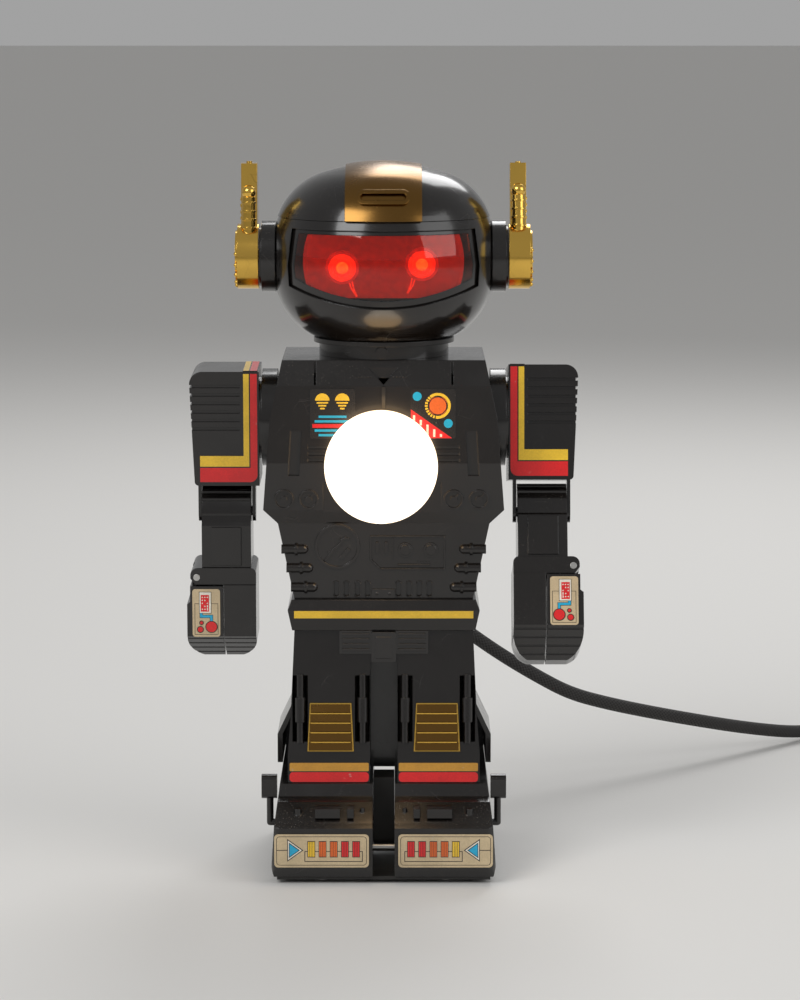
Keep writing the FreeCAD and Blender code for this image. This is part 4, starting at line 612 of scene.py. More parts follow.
def chest_artwork():
    """Two square instrument stickers above the bulb."""
    low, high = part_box("chest_stickers")
    whole = rectangle(0, 0, CHEST_WIDE, (high[2] - low[2]) / MM, 0.9)
    # The corner nearest the bulb is cut away
    left_base = [(12.2, 0.0), (14.6, 3.4), (CHEST_WIDE, 6.2)]
    left_base += [point for point in whole if point[0] > 15 and point[1] >= 4]
    left_base += [point for point in whole if point[0] < 15]
    right_base = [point for point in whole if point[0] >= 4 or point[1] >= 4]
    right_base += [(0.0, 6.6), (3.2, 3.8), (5.6, 0.0)]
    face_y = low[1] + FOIL * MM * math.cos(math.radians(CHEST_LEAN))
    stickers = []
    for x, base in ((low[0], left_base), (high[0] - CHEST_WIDE * MM, right_base)):
        square = Sticker("square", Vector((x, face_y, low[2])), RIGHT, leaning(CHEST_LEAN))
        square.base(base, "ink", FOIL)
        stickers.append(square)
    left, right = stickers
    for x in (5.0, 13.0):
        left.ink(disc(x, 15.3, 2.9, 0, 180), "yellow")
        for row, half in enumerate((2.3, 1.6, 0.9)):
            y = 14.4 - 1.15 * row
            left.ink(rectangle(x - half, y - 0.32, x + half, y + 0.32), "yellow")
    middle = CHEST_WIDE / 2
    for row, (half, colour) in enumerate(((5.6, "cyan"), (7.2, "cyan"), (8.1, "red"),
                                          (7.2, "cyan"), (5.6, "cyan"))):
        y = 8.8 - 1.85 * row
        tall = 0.75 if colour == "red" else 0.48
        end = middle + half if row < 3 else 11.8
        left.ink(rectangle(middle - half, y - tall, end, y + tall), colour)
    for x, y in ((2.7, 17.0), (15.2, 6.1)):
        right.ink(disc(x, y, 1.8), "cyan")
    ring = (11.0, 13.2)
    right.ink(disc(*ring, 5.2, -100, 130, 4.1), "yellow")
    for step in range(9):
        start = 134 + 14 * step
        right.ink(disc(*ring, 5.2, start, start + 9, 4.1), "yellow")
    right.ink(disc(*ring, 3.4), "orange")
    for start in (20, 110, 200, 290):
        right.ink(disc(*ring, 3.95, start, start + 45, 3.75), "orange")
    right.ink([(0.15, 11.8), (0.15, 6.8), (3.4, 3.9), (5.8, 0.15), (16.8, 0.15)], "red")
    for index in range(5):
        x = 1.0 + 2.7 * index
        top = 11.2 - 0.7 * (x + 0.4)
        foot = max(0.7, top - 3.0 - (2.6 if index > 1 else 0))
        right.ink(rectangle(x, foot, x + 0.9, top - 0.8), "white", 2)
    joined("chest_stickers_print", stickers, "body", ["chest_stickers"], "chest_sticker")


def foot_artwork():
    """Wide stickers with a flow symbol and five graded bars, mirrored between the feet."""
    low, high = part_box("foot_stickers")
    wide, tall = FOOT_WIDE, (high[2] - low[2]) / MM
    stickers = []
    for x, mirror_width in ((low[0], None), (high[0] - wide * MM, wide)):
        corner = Vector((x, low[1] + FOIL * MM, low[2]))
        plate = Sticker("foot", corner, RIGHT, UP, mirror_width)
        plate.base(rectangle(0, 0, wide, tall, 1.6), "cream", FOIL)
        frame_line = rectangle(0.95, 0.95, wide - 0.95, tall - 0.95, 1.3)
        plate.ink(stroke(frame_line, 0.22, closed=True), "ink")
        middle = tall * 0.52
        plate.ink(stroke([(0.95, middle), (5.3, middle)], 0.3), "ink")
        arrow = [(5.25, middle - 4.7), (11.7, middle), (5.25, middle + 4.7)]
        arrow_x = 5.25 + 6.4 / 3
        for layer, (size, finish) in enumerate(((1.0, "ink"), (0.86, "white"), (0.68, "ink"),
                                                (0.56, "cyan")), 1):
            plate.ink([(arrow_x + (x - arrow_x) * size, middle + (y - middle) * size)
                       for x, y in arrow], finish, layer)
        loop_low = middle - 4.6
        line_y = middle - 0.5
        loop = [(12.3, line_y), (12.3, loop_low), (35.4, loop_low), (35.4, line_y)]
        plate.ink(stroke(loop, 0.3, closed=True), "ink")
        for index, finish in enumerate(("yellow", "orange", "orange", "red", "red")):
            x0 = 13.6 + 4.5 * index
            plate.ink(rectangle(x0 - 0.25, middle - 2.9, x0 + 2.85, middle + 3.8), "ink", 2)
            plate.ink(rectangle(x0, middle - 2.6, x0 + 2.6, middle + 3.5), finish, 3)
            for line in range(3):
                x1 = x0 + 0.55 + 0.65 * line
                plate.ink(rectangle(x1, middle - 2.6, x1 + 0.13, middle + 3.5), "ink", 4)
        stickers.append(plate)
    joined("foot_stickers_print", stickers, "body", ["foot_stickers"], "foot_sticker")


def arm_turn(side, lower=False):
    """How an arm, or its forearm, is turned at rest; forward angles turn about -X."""
    swing, bend = (LEFT_SWING, LEFT_BEND) if side == "left" else (RIGHT_SWING, RIGHT_BEND)
    return Matrix.Rotation(-math.radians(swing + (bend if lower else 0.0)), 3, "X")


def arm_sticker(side, joint, turn, up, place, wide, mirrored):
    """A sticker that starts at a place from a joint, in millimetres, and is mirrored on one side."""
    x, y, z = place
    if side == "left":
        x = -x - wide
    corner = Vector(JOINTS[side + joint]["pos_m"]) + turn @ Vector((x, y, z)) * MM
    return Sticker(side, corner, RIGHT, turn @ up, wide if side == mirrored else None)


def hand_artwork():
    """Control-panel stickers on the moving jaws, mirrored between the hands."""
    wide, tall = 11.4, 20.0
    for side in ("left", "right"):
        plate = arm_sticker(side, "_jaw_open", arm_turn(side, lower=True), UP, (-9.6, -15.0, -24.7),
                            wide, "right")
        plate.base(rectangle(0, 0, wide, tall, 1.2), "cream", FOIL)
        plate.ink(stroke([(1.0, 13.9), (1.0, 1.0), (10.5, 1.0), (10.5, 13.9)], 0.2, closed=True),
                  "ink")
        plate.ink(rectangle(2.75, 9.8, 7.85, 18.9), "ink", 2)
        plate.ink(rectangle(2.95, 10.0, 7.65, 18.7), "white", 3)
        plate.ink(rectangle(3.45, 10.6, 6.85, 17.6), "red", 4)
        for column in range(3):
            for row in range(5):
                x, y = 4.1 + 1.05 * column, 16.6 - 1.25 * row
                if column == 2 and row > 2:
                    plate.ink(rectangle(x - 0.22, y - 0.5, x + 0.22, y + 0.5), "white", 5)
                elif (column + row) % 4 != 3:
                    plate.ink(disc(x, y, 0.27), "white", 5)
        pipe = [(3.6, 9.9), (3.6, 8.6), (7.8, 8.6), (7.8, 6.2)]
        plate.ink(stroke(pipe, 1.3), "ink", 4)
        plate.ink(stroke(pipe, 0.95), "cyan", 5)
        for x, y, radius in ((3.7, 5.9, 0.62), (3.2, 3.1, 1.1), (7.8, 4.2, 2.2)):
            plate.ink(disc(x, y, radius + 0.32), "ink", 6)
            plate.ink(disc(x, y, radius), "red", 7)
        plate.name = side + "_hand_sticker_print"
        plate.stick(side + "_jaw", [side + "_hand_sticker"], "hand_sticker")


def arm_artwork():
    """Red and yellow bands that run down the inner edge and along the bottom of the upper arms."""
    wide, tall, inner, joint = 23.8, 44.8, 51.4, "_shoulder_swing"
    split, yellow_end = 3.5, 5.8        # where the yellow begins and ends, from the inner edge
    top_wide, top_long = 6.0, 28.0
    for side in ("left", "right"):
        turn = arm_turn(side)
        band = arm_sticker(side, joint, turn, UP, (inner, -15.0, -24.8), wide, "left")
        outline = disc(3.0, 3.0, 3.0, 180, 270)
        outline += [(wide, 0), (wide, 11.2), (top_wide, 11.2), (top_wide, tall), (0, tall)]
        band.base(outline, "ink", FOIL)
        edge = wide - 0.2
        band.ink(disc(3.2, 3.2, 3.0, 180, 270) + [(edge, 0.2), (edge, 6.1), (3.0, 6.1), (3.0, tall),
                                                  (0.2, tall)], "red")
        band.ink([(split, 6.6), (edge, 6.6), (edge, 11.0), (yellow_end, 11.0), (yellow_end, tall),
                  (split, tall)], "yellow")
        top = arm_sticker(side, joint, turn, BACK, (inner, -14.0, 20.8), top_wide, "left")
        top.base(rectangle(0, 0, top_wide, top_long), "ink", FOIL)
        top.ink(rectangle(0.2, 0, 3.0, top_long - 0.2), "red")
        top.ink(rectangle(split, 0, yellow_end, top_long - 0.2), "yellow")
        joined(side + "_arm_print", [band, top], side + "_arm", [side + "_arm_sticker"],
               "arm_sticker")


def band_artwork():
    """Two-colour bands above the feet and the plain band round the belt."""
    low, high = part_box("leg_bands")
    stickers = []
    for x, mirror_width in ((low[0], None), (high[0] - BAND_WIDE * MM, BAND_WIDE)):
        corner = Vector((x, low[1] + FOIL * MM, low[2]))
        strip = Sticker("band", corner, RIGHT, leaning(BAND_LEAN), mirror_width)
        strip.base(rectangle(0, 0, BAND_WIDE, 8.0, 0.8), "ink", FOIL)
        strip.ink(rectangle(0.1, 4.5, BAND_WIDE - 0.1, 7.9, 0.5), "ochre")
        strip.ink(rectangle(0.1, 0.1, BAND_WIDE - 0.1, 4.1, 1.4), "red")
        stickers.append(strip)
    joined("leg_bands_print", stickers, "body", ["leg_bands"], "leg_band")

    low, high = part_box("belt_band")
    lean_out = math.atan2(high[1] - low[1] - FOIL * MM, high[2] - low[2])
    wide = (high[0] - low[0]) / MM
    tall = (high[2] - low[2]) / MM / math.cos(lean_out)
    belt = Sticker("belt_band_print", Vector((low[0], high[1], low[2])), RIGHT,
                   leaning(-math.degrees(lean_out)))
    belt.base(rectangle(0, 0, wide, tall), "ink", 0.25)
    belt.ink(rectangle(0.2, 0.15, wide - 0.2, tall - 0.15), "yellow")
    belt.stick("body", ["belt_band"], "belt_band")


# Head, bulb and the other pieces that the frame's plain solids stand for
def lit_eyes():
    """Two lit lenses of stepped red glass with their bent leads."""
    vertices, faces, marks = [], [], []
    steps = 40
    for x, z in ((-16.3, 246.8), (15.2, 248.1)):
        place = Matrix.Translation(at(x, -32.0, z)) @ Matrix.Rotation(math.radians(90), 4, "X")
        profile = [(0, 0), (6.7, 0), (6.7, 3.0), (6.4, 3.5), (5.4, 3.7), (5.0, 4.6), (4.0, 4.8),
                   (3.6, 4.0), (2.4, 4.2), (1.8, 5.0), (1.0, 5.3), (0, 5.4)]
        made, rings = lathe([(r * MM, h * MM) for r, h in profile], steps, place)
        add_part(vertices, faces, made, rings)
        marks += [0 if index < 4 * steps else 1 if index < 8 * steps else 2
                  for index in range(len(rings))]
    piece("eye_lenses_lit", vertices, faces, ["eye rim glass", "eye red glass", "eye lit glass"],
          "head", ["eye_lenses"], marks, smooth=40)
    wires = []
    for x, z, inward in ((-16.3, 246.8, 1), (15.2, 248.1, -1)):
        for shift, drift in ((2.2, 3.4), (3.6, 2.2)):
            wires.append([at(x + inward * shift, -32.6, z - 4.6),
                          at(x + inward * (shift + drift * 0.4), -33.2, z - 8.5),
                          at(x + inward * (shift + drift), -32.8, z - 11.6)])
    # The bent leads carry a painted glow of the eyes' light
    tube_piece("eye_leads_bent", wires, 0.32 * MM, 6, "copper leads with painted glow", "head", ["eye_leads"])


def tube_rings(points, radius, sides):
    """Rings of vertices along a line of points, carried without twist."""
    rings = []
    normal = None
    for index, point in enumerate(points):
        way = (points[min(index + 1, len(points) - 1)] - points[max(index - 1, 0)]).normalized()
        if normal is None:
            normal = way.orthogonal().normalized()
        normal = (normal - way * normal.dot(way)).normalized()
        across = way.cross(normal)
        rings.append([point + (normal * math.cos(a) + across * math.sin(a)) * radius
                      for a in (2 * math.pi * side / sides for side in range(sides))])
    return rings


def tube_mesh(points, radius, sides):
    """A closed tube as vertices and faces, with UVs of length along and turns round."""
    vertices = [vertex for ring in tube_rings(points, radius, sides) for vertex in ring]
    faces, uvs = [], []
    travelled = 0.0
    for index in range(len(points) - 1):
        length = (points[index + 1] - points[index]).length
        for side in range(sides):
            following = (side + 1) % sides
            here, there = index * sides, (index + 1) * sides
            faces.append([here + side, here + following, there + following, there + side])
            turn, next_turn = side / sides, (side + 1) / sides
            uvs += [(travelled, turn), (travelled, next_turn),
                    (travelled + length, next_turn), (travelled + length, turn)]
        travelled += length
    last = (len(points) - 1) * sides
    faces += [list(reversed(range(sides))), list(range(last, last + sides))]
    uvs += [(0.0, 0.0)] * sides + [(travelled, 0.0)] * sides
    return vertices, faces, uvs


def tube_piece(name, lines, radius, sides, finish, body, replaces=()):
    vertices, faces, uvs = [], [], []
    for points in lines:
        made, rings, spots = tube_mesh(points, radius, sides)
        add_part(vertices, faces, made, rings)
        uvs += spots
    tube = piece(name, vertices, faces, [finish], body, replaces, smooth=60)
    layer = tube.data.uv_layers.new(name="UVMap")
    for loop, spot in zip(layer.data, uvs):
        loop.uv = spot
    return tube


def lit_bulb():
    """The round opal bulb, smooth, with its neck."""
    radius = settings().bulb_radius / MM
    profile = [(0, radius)]
    steps, neck_angle = 44, 57.6
    for step in range(1, steps + 1):
        angle = math.radians(90 - step * (90 + neck_angle) / steps)
        profile.append((radius * math.cos(angle), radius * math.sin(angle)))
    profile += [(10.6, -21.2), (9.4, -23.0), (8.4, -24.4), (8.0, -25.0), (0, -25.0)]
    place = Matrix.Translation(at(-0.9, -58, 169.7)) @ Matrix.Rotation(math.radians(90), 4, "X")
    vertices, faces = lathe([(r * MM, h * MM) for r, h in profile], 72, place)
    piece("bulb_globe_lit", vertices, [list(reversed(face)) for face in faces],
          ["opal bulb glass"], "body", ["bulb_globe"], smooth=50)


# Rows of like parts, built with Geometry Nodes and kept as plain meshes
ROW_TREES = {}


def row_tree(shape):
    """A node tree that repeats a bar, or a round stud, along a straight line."""
    tree = bpy.data.node_groups.new("Row of " + shape, "GeometryNodeTree")
    for label, kind in (("Count", "NodeSocketInt"), ("Start", "NodeSocketVector"),
                        ("Step", "NodeSocketVector"), ("Size", "NodeSocketVector"),
                        ("Finish", "NodeSocketMaterial")):
        tree.interface.new_socket(label, in_out="INPUT", socket_type=kind)
    tree.interface.new_socket("Geometry", in_out="OUTPUT", socket_type="NodeSocketGeometry")
    given, made = tree.nodes.new("NodeGroupInput"), tree.nodes.new("NodeGroupOutput")
    line = tree.nodes.new("GeometryNodeMeshLine")
    line.mode = "OFFSET"
    copies = tree.nodes.new("GeometryNodeInstanceOnPoints")
    real = tree.nodes.new("GeometryNodeRealizeInstances")
    coloured = tree.nodes.new("GeometryNodeSetMaterial")
    if shape == "bars":
        part = tree.nodes.new("GeometryNodeMeshCube")
        part.inputs["Size"].default_value = (1.0, 1.0, 1.0)
    else:
        part = tree.nodes.new("GeometryNodeMeshIcoSphere")
        part.inputs["Radius"].default_value = 0.5
        part.inputs["Subdivisions"].default_value = 3
    for source, target in ((given.outputs["Count"], line.inputs["Count"]),
                           (given.outputs["Start"], line.inputs["Start Location"]),
                           (given.outputs["Step"], line.inputs["Offset"]),
                           (given.outputs["Size"], copies.inputs["Scale"]),
                           (line.outputs["Mesh"], copies.inputs["Points"]),
                           (part.outputs["Mesh"], copies.inputs["Instance"]),
                           (copies.outputs["Instances"], real.inputs["Geometry"]),
                           (real.outputs["Geometry"], coloured.inputs["Geometry"]),
                           (given.outputs["Finish"], coloured.inputs["Material"]),
                           (coloured.outputs["Geometry"], made.inputs["Geometry"])):
        tree.links.new(source, target)
    return tree


def rows(name, shape, lines, finish, body, smooth=0.0):
    """One piece from several rows; each row is (count, start, step, size) in millimetres."""
    if shape not in ROW_TREES:
        ROW_TREES[shape] = row_tree(shape)
    tree = ROW_TREES[shape]
    sockets = {item.name: item.identifier for item in tree.interface.items_tree
               if item.in_out == "INPUT"}
    vertices, faces = [], []
    for count, start, step, size in lines:
        host = bpy.data.objects.new(name + "_row", bpy.data.meshes.new(name + "_row"))
        bpy.context.scene.collection.objects.link(host)
        modifier = host.modifiers.new("Row", "NODES")
        modifier.node_group = tree
        modifier[sockets["Count"]] = count
        modifier[sockets["Start"]] = tuple(at(*start))
        modifier[sockets["Step"]] = tuple(Vector(step) * MM)
        modifier[sockets["Size"]] = tuple(Vector(size) * MM)
        modifier[sockets["Finish"]] = FINISHES[finish]
        result = bpy.data.meshes.new_from_object(
            host.evaluated_get(bpy.context.evaluated_depsgraph_get()))
        host.modifiers.remove(modifier)
        add_part(vertices, faces, [vertex.co.copy() for vertex in result.vertices],
                 [face.vertices for face in result.polygons])
        bpy.data.objects.remove(host)
        bpy.data.meshes.remove(result)
    return piece(name, vertices, faces, [finish], body, smooth=smooth)


GRILLE_X, GRILLE_BASE = 21.6, 50.1
BELLY = -31.0                  # depth of the flat face below the bulb


def trim_rows():
    """Gold grille lines, breast beads, rivets and hip louvres."""
    rise = leaning(LEG_LEAN) * 3.9
    rows("grille_lines", "bars",
         [(4, (side * GRILLE_X, -37.25, GRILLE_BASE + 3.97), rise, (16.2, 0.9, 0.55))
          for side in (-1, 1)],
         "plated gold", "body")
    bead = (0.75, 0.75, 0.75)
    beads = [(4, (x, -33.0, 195.2), (0, 0.09, 1.2), bead) for x in (-2.07, 0.41)]
    beads += [(5, (x, -30.75, 202.6), (1.3, 0, 0), bead) for x in (-10.1, 4.0)]
    beads += [(2, (-2.8, -31.1, 114.2), (5.2, 0, 0), (1.7, 1.2, 1.7))]
    rows("chest_beads", "studs", beads, "black plastic", "body", smooth=60)
    rows("hip_louvres", "bars",
         [(4, (side * 11.4, -32.7, 91.4), (0, 0, 2.1), (11.2, 1.0, 1.1)) for side in (-1, 1)],
         "black plastic", "body")


def slab(outline, back, front):
    """A flat part from an outline seen from the front, between two depths."""
    count = len(outline)
    vertices = [at(x, depth, z) for depth in (front, back) for x, z in outline]
    faces = [list(range(count)), list(reversed(range(count, 2 * count)))]
    faces += [[(i + 1) % count, i, count + i, count + (i + 1) % count] for i in range(count)]
    return vertices, faces


def slabs(name, parts, finish, body):
    """One piece from several flat parts, each (outline, back, front)."""
    vertices, faces = [], []
    for outline, back, front in parts:
        add_part(vertices, faces, *slab(outline, back, front))
    return piece(name, vertices, faces, [finish], body)


def bar(x, z, reach, half, angle):
    """Outline of a bar turned about a point of the front."""
    way = Vector((math.cos(math.radians(angle)), math.sin(math.radians(angle))))
    across = Vector((-way.y, way.x)) * half
    middle = Vector((x, z))
    ends = (middle + way * reach[0], middle + way * reach[1])
    return [tuple(ends[0] - across), tuple(ends[1] - across), tuple(ends[1] + across),
            tuple(ends[0] + across)]


def front_details():
    """Gauge handle, instrument panel, dial pointers, vent rims, hip block and foot bridge."""
    gauge, turned = (-18.8, 133.5), 49
    floor, rim, raised = BELLY + 0.7, BELLY - 0.35, BELLY + 0.1
    parts = [(bar(*gauge, (-7.6, 5.4), 0.55, turned), BELLY, BELLY - 0.7),
             (bar(*gauge, (-4.6, 1.6), 0.5, turned - 14), BELLY, BELLY - 0.6),
             (bar(-18.0, 136.4, (0.0, 4.2), 0.5, 6), BELLY, BELLY - 0.6),
             (bar(-15.4, 131.0, (-3.4, 2.2), 0.9, turned), BELLY, BELLY - 0.55)]
    panel = [(-1.5, 124.3), (24.7, 124.3), (24.7, 137.7), (-5.3, 137.7), (-5.3, 128.2)]
    parts += [(quad, floor, rim) for quad in stroke(panel, 0.7, closed=True)]
    parts += [(rectangle(3.4, 128.2, 4.0, 137.2), floor, raised),
              (rectangle(5.6, 125.7, 18.8, 126.3), floor, raised)]
    parts += [(rectangle(x - 0.7, 130.6, x + 0.7, 135.4, 0.4), floor, BELLY - 0.1)
              for x in (-2.6, 1.0)]
    parts += [(rectangle(x, 126.3, x + 0.4, 127.5), floor, raised)
              for x in (13.6 + 1.1 * tick for tick in range(5))]
    for x in (8.8, 19.1):
        parts += [(disc(x, 132.0, 3.1), floor, BELLY + 0.15),
                  (disc(x, 132.0, 2.1), floor, BELLY - 0.15)]
    for x in (-19.2, -15.1, -10.6, -6.5, 6.0, 10.3, 14.4, 18.5):
        vent = rectangle(x - 1.15, 112.9, x + 1.15, 119.4, 1.1)
        parts += [(quad, BELLY + 0.4, BELLY - 0.4) for quad in stroke(vent, 0.45, closed=True)]
    parts += [(rectangle(-5.0, 112.3, 4.6, 116.2, 0.4), BELLY + 0.3, BELLY - 0.5)]
    parts += [(bar(x, 153.3, (0.6, 3.3), 0.45, 45), -35.0, -35.65)
              for x in (-40.2, -30.3, 28.2, 38.4)]
    slabs("chest_instruments", parts, "black plastic", "body")
    slabs("hip_block", [(rectangle(-5.0, 86.2, 5.0, 98.8, 0.8), -30.5, -33.6),
                        (rectangle(-3.4, 88.0, 3.4, 96.8, 0.6), -33.5, -34.0)],
          "black plastic", "body")
    slabs("foot_bridge", [(rectangle(-4.3, 8.0, 4.3, 37.0), -12.0, -27.0)],
          "matt black plastic", "body")
    borders = []
    for side in (-1, 1):
        plate = Sticker("border", at(side * GRILLE_X - 9.5, -36.56, GRILLE_BASE), RIGHT,
                        leaning(LEG_LEAN))
        plate.level = 0.85
        edge = [(0.35, 0.3), (18.65, 0.3), (17.65, 19.5), (1.35, 19.5)]
        plate.ink(stroke(edge, 0.5, closed=True), "plated gold")
        borders.append(plate)
    joined("grille_borders", borders, "body")


# Cord
CORD_ROUTE = (
    (14.0, 60.0, 92.0),
    (14.2, 74.0, 91.6),
    (18.5, 88.5, 88.4),
    (27.0, 100.0, 81.9),
    (40.6, 108.0, 70.2),
    (54.3, 115.0, 59.7),
    (68.6, 122.0, 49.9),
    (83.6, 130.0, 40.4),
    (100.2, 140.0, 33.9),
    (121.0, 154.0, 26.8),
    (144.8, 171.0, 19.2),
    (170.8, 191.0, 11.1),
    (198.2, 213.0, 4.0),
    (224.0, 232.0, 3.0),
    (249.0, 246.0, 3.0),
    (275.0, 246.0, 3.0),
)
COIL_OUTER, COIL_PITCH, COIL_LAYER, COIL_TURNS = 45.4, 7.6, 6.8, 3.25
COIL_LEAD, PLUG_LEVEL = 6.0, 6.85


def coil_points():
    """The put-away coil: it spirals in on the surface, climbs, spirals out, and runs to the plug."""
    start = CORD_ROUTE[-1]
    inner = COIL_OUTER - COIL_PITCH * COIL_TURNS
    per_turn = 16
    swell = 4 / (3 + math.cos(2 * math.pi / per_turn))
    last = 2 * COIL_TURNS + 0.5
    points = []
    for step in range(1, round(last * per_turn)):
        turn = step / per_turn
        if turn <= COIL_TURNS:
            radius, height = COIL_OUTER - COIL_PITCH * turn, 0.0
        elif turn <= COIL_TURNS + 0.5:
            climb = (1 - math.cos(2 * math.pi * (turn - COIL_TURNS))) / 2
            radius, height = inner, COIL_LAYER * climb
        else:
            radius, height = inner + COIL_PITCH * (turn - COIL_TURNS - 0.5), COIL_LAYER
        angle = 2 * math.pi * turn - math.pi / 2
        points.append((start[0] + COIL_LEAD + radius * swell * math.cos(angle),
                       start[1] - COIL_OUTER - radius * swell * math.sin(angle), start[2] + height))
    top = start[2] + COIL_LAYER
    exit_x = start[0] + COIL_LEAD
    points += [(exit_x + 7, start[1], top), (exit_x + 21, start[1], top),
               (exit_x + 37, start[1], PLUG_LEVEL), (exit_x + 50, start[1], PLUG_LEVEL)]
    return points


def power_cord():
    """One unbroken braided cord from the strain relief through its coil to the plug."""
    diameter = settings().cord_diameter
    curve = bpy.data.curves.new("cord_line", "CURVE")
    curve.dimensions = "3D"
    curve.resolution_u = 6
    route = [at(*point) for point in CORD_ROUTE] + [at(*point) for point in coil_points()]
    spline = curve.splines.new("NURBS")
    spline.points.add(len(route) - 1)
    for control, spot in zip(spline.points, route):
        control.co = (*spot, 1.0)
    spline.order_u = 3
    spline.use_endpoint_u = True
    line = bpy.data.objects.new("cord_line", curve)
    bpy.context.scene.collection.objects.link(line)
    path_mesh = bpy.data.meshes.new_from_object(line)
    path = [vertex.co.copy() for vertex in path_mesh.vertices]
    bpy.data.objects.remove(line)
    bpy.data.meshes.remove(path_mesh)
    cord = tube_piece("power_cord_braided", [path], diameter / 2, 14, "braided black textile",
                      "body", ["power_cord", "cord_coil"])


# Finishes of the pieces that keep the frame's own solids
CARRIED = {
    "black plastic": (
        "chest_shell", "back_shell", "leg_front_shell", "leg_back_shell", "left_foot_shell",
        "right_foot_shell", "side_mirrors", "service_door", "neck_collar", "face_shell", "skull_shell",
        "ear_discs", "left_shoulder_hub", "right_shoulder_hub", "left_upper_arm",
        "right_upper_arm", "left_forearm", "right_forearm", "left_hand", "right_hand", "left_jaw",
        "right_jaw", "rocker"),
    "matt black plastic": ("base_plate", "switch_body", "plug_body", "front_wheels",
                           "rear_wheels", "holder_ring"),
    "black rubber": ("cord_gland", "strain_relief"),
    # Darker gold here is a painted dark reflection, not a different plating
    "gold darkened by painted reflection": ("leg_grilles", "crest_trim"),
    # The eye plate's glow is painted light from the eyes
    "eye plate with painted glow": ("eye_plate",),
    "holder bakelite": ("lamp_holder",),
    "plated gold": ("left_antenna", "right_antenna"),
    "zinc steel": ("base_screws", "shell_screws", "left_jaw_pin", "right_jaw_pin", "front_axle",
                   "rear_axle"),
    "bright cap metal": ("bulb_cap",),
    "nickel pins": ("plug_pins",),
    "brown wire sleeve": ("lamp_leads",),
    "amber visor": ("visor",),
}


def dress_carried():
    for finish, nodes in CARRIED.items():
        for node in nodes:
            for slot in bpy.data.objects[node].material_slots:
                slot.material = FINISHES[finish]


# Operators, one for each piece or group of like pieces
class LampOperator:
    bl_options = {"REGISTER", "UNDO"}


class LAMP_OT_camera(LampOperator, bpy.types.Operator):
    """Set the camera where the photograph was taken"""
    bl_idname = "robot_lamp.camera"
    bl_label = "Camera"

    def execute(self, context):
        lens = bpy.data.cameras.new("Camera")
        lens.sensor_width = 36.0
        lens.lens = lens.sensor_width * 3400 / 1000     # 3400 pixels away in a picture 1000 high
        lens.clip_end = 50.0
        camera = bpy.data.objects.new("Camera", lens)
        camera.location = at(6.6, -1390.5, 349.7)
        camera.rotation_euler = (math.radians(90 - 8.25), 0, 0)
        context.scene.collection.objects.link(camera)
        context.scene.camera = camera
        return {"FINISHED"}


class LAMP_OT_finishes(LampOperator, bpy.types.Operator):
    """Make the finishes and put them on the moulded, plated and metal pieces"""
    bl_idname = "robot_lamp.finishes"
    bl_label = "Finishes"

    def execute(self, context):
        make_finishes()
        dress_carried()
        return {"FINISHED"}


class LAMP_OT_cord(LampOperator, bpy.types.Operator):
    """Lay the braided cord from the back to its coil and plug"""
    bl_idname = "robot_lamp.cord"
    bl_label = "Power cord"

    def execute(self, context):
        power_cord()
        return {"FINISHED"}


class LAMP_OT_bulb(LampOperator, bpy.types.Operator):
    """Light the round bulb in the chest"""
    bl_idname = "robot_lamp.bulb"
    bl_label = "Bulb"

    def execute(self, context):
        lit_bulb()
        return {"FINISHED"}


class LAMP_OT_eyes(LampOperator, bpy.types.Operator):
    """Make the lit eyes behind the visor"""
    bl_idname = "robot_lamp.eyes"
    bl_label = "Eyes"

    def execute(self, context):
        lit_eyes()
        return {"FINISHED"}


class LAMP_OT_stickers(LampOperator, bpy.types.Operator):
    """Print the stickers of the chest, arms, hands, belt, legs and feet"""
    bl_idname = "robot_lamp.stickers"
    bl_label = "Stickers"

    def execute(self, context):
        chest_artwork()
        arm_artwork()
        hand_artwork()
        band_artwork()
        foot_artwork()
        return {"FINISHED"}


class LAMP_OT_rows(LampOperator, bpy.types.Operator):
    """Repeat the grille lines, beads and louvres"""
    bl_idname = "robot_lamp.rows"
    bl_label = "Rows of trim"

    def execute(self, context):
        trim_rows()
        return {"FINISHED"}


class LAMP_OT_details(LampOperator, bpy.types.Operator):
    """Make the small raised parts of the chest, hips and feet"""
    bl_idname = "robot_lamp.details"
    bl_label = "Front details"

    def execute(self, context):
        front_details()
        return {"FINISHED"}


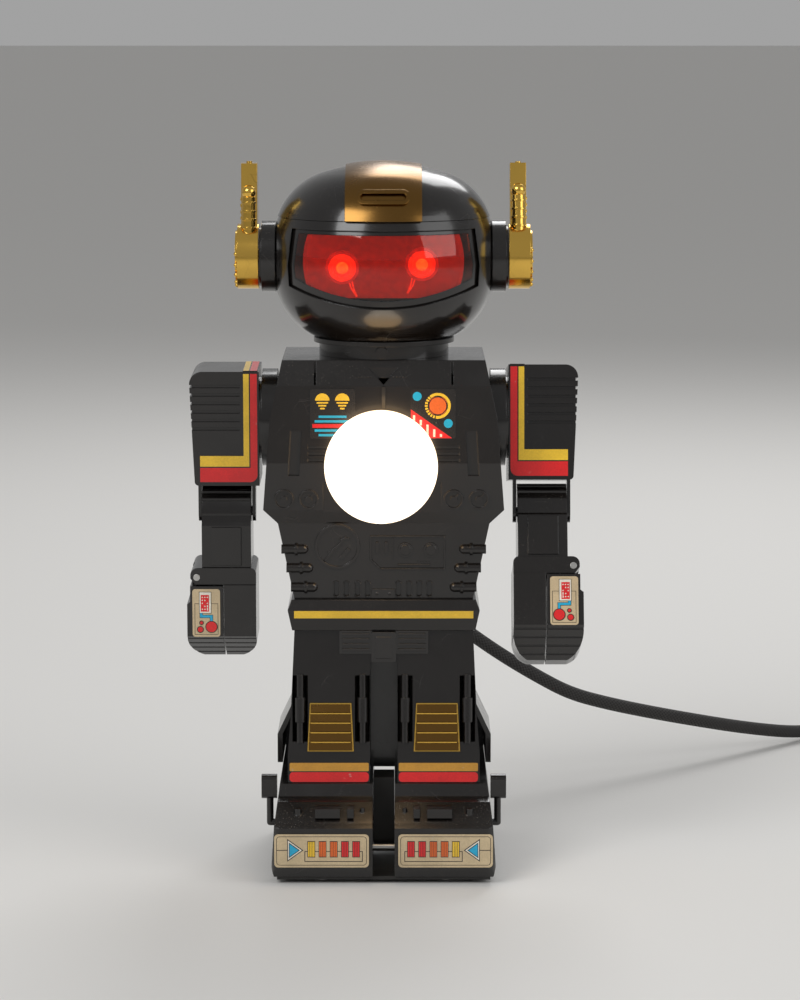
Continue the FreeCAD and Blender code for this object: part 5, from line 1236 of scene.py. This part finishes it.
class LAMP_OT_stage(LampOperator, bpy.types.Operator):
    """Lay a plain pale floor under soft studio light"""
    bl_idname = "robot_lamp.stage"
    bl_label = "Stage"

    def execute(self, context):
        mesh = bpy.data.meshes.new("floor")
        reach = 30
        mesh.from_pydata([(-reach, -reach, 0), (reach, -reach, 0), (reach, reach, 0),
                          (-reach, reach, 0)], [], [[0, 1, 2, 3]])
        floor = bpy.data.objects.new("floor", mesh)
        paper = bpy.data.materials.new("pale floor")
        paper.use_nodes = True
        shader = paper.node_tree.nodes["Principled BSDF"]
        shader.inputs["Base Color"].default_value = (0.72, 0.71, 0.69, 1)
        shader.inputs["Roughness"].default_value = 0.75
        mesh.materials.append(paper)
        context.scene.collection.objects.link(floor)
        world = bpy.data.worlds.new("studio")
        world.use_nodes = True
        background = world.node_tree.nodes["Background"]
        background.inputs["Color"].default_value = (0.80, 0.80, 0.80, 1)
        background.inputs["Strength"].default_value = 0.45
        context.scene.world = world
        for name, place, size, power in (("key", (-0.9, -1.1, 1.3), 0.9, 14.0),
                                         ("fill", (1.3, -0.7, 0.8), 1.1, 7.0),
                                         ("rim", (0.3, 1.2, 1.2), 0.8, 9.0)):
            light = bpy.data.lights.new(name, "AREA")
            light.size = size
            light.energy = power
            lamp = bpy.data.objects.new(name, light)
            lamp.location = place
            aim = Vector((0, NECK_Y, 0.15)) - Vector(place)
            lamp.rotation_euler = aim.to_track_quat("-Z", "Y").to_euler()
            context.scene.collection.objects.link(lamp)
        context.scene.view_settings.view_transform = "Standard"
        return {"FINISHED"}


OPERATORS = (LAMP_OT_camera, LAMP_OT_finishes, LAMP_OT_cord, LAMP_OT_bulb, LAMP_OT_eyes,
             LAMP_OT_stickers, LAMP_OT_rows, LAMP_OT_details, LAMP_OT_stage)


class LAMP_PT_panel(bpy.types.Panel):
    """Robot lamp tools"""
    bl_label = "Robot Lamp"
    bl_idname = "LAMP_PT_panel"
    bl_space_type = "VIEW_3D"
    bl_region_type = "UI"
    bl_category = "Robot Lamp"

    def draw(self, context):
        for operator in OPERATORS:
            self.layout.operator(operator.bl_idname)
        for name in LampSettings.__annotations__:
            self.layout.prop(context.scene.robot_lamp, name)


CLASSES = (LampSettings, *OPERATORS, LAMP_PT_panel)


def register():
    for item in CLASSES:
        bpy.utils.register_class(item)
    bpy.types.Scene.robot_lamp = bpy.props.PointerProperty(type=LampSettings)


def unregister():
    del bpy.types.Scene.robot_lamp
    for item in reversed(CLASSES):
        bpy.utils.unregister_class(item)


def main():
    register()
    for operator in OPERATORS:
        group, name = operator.bl_idname.split(".")
        getattr(getattr(bpy.ops, group), name)()


if __name__ == "__main__":
    main()
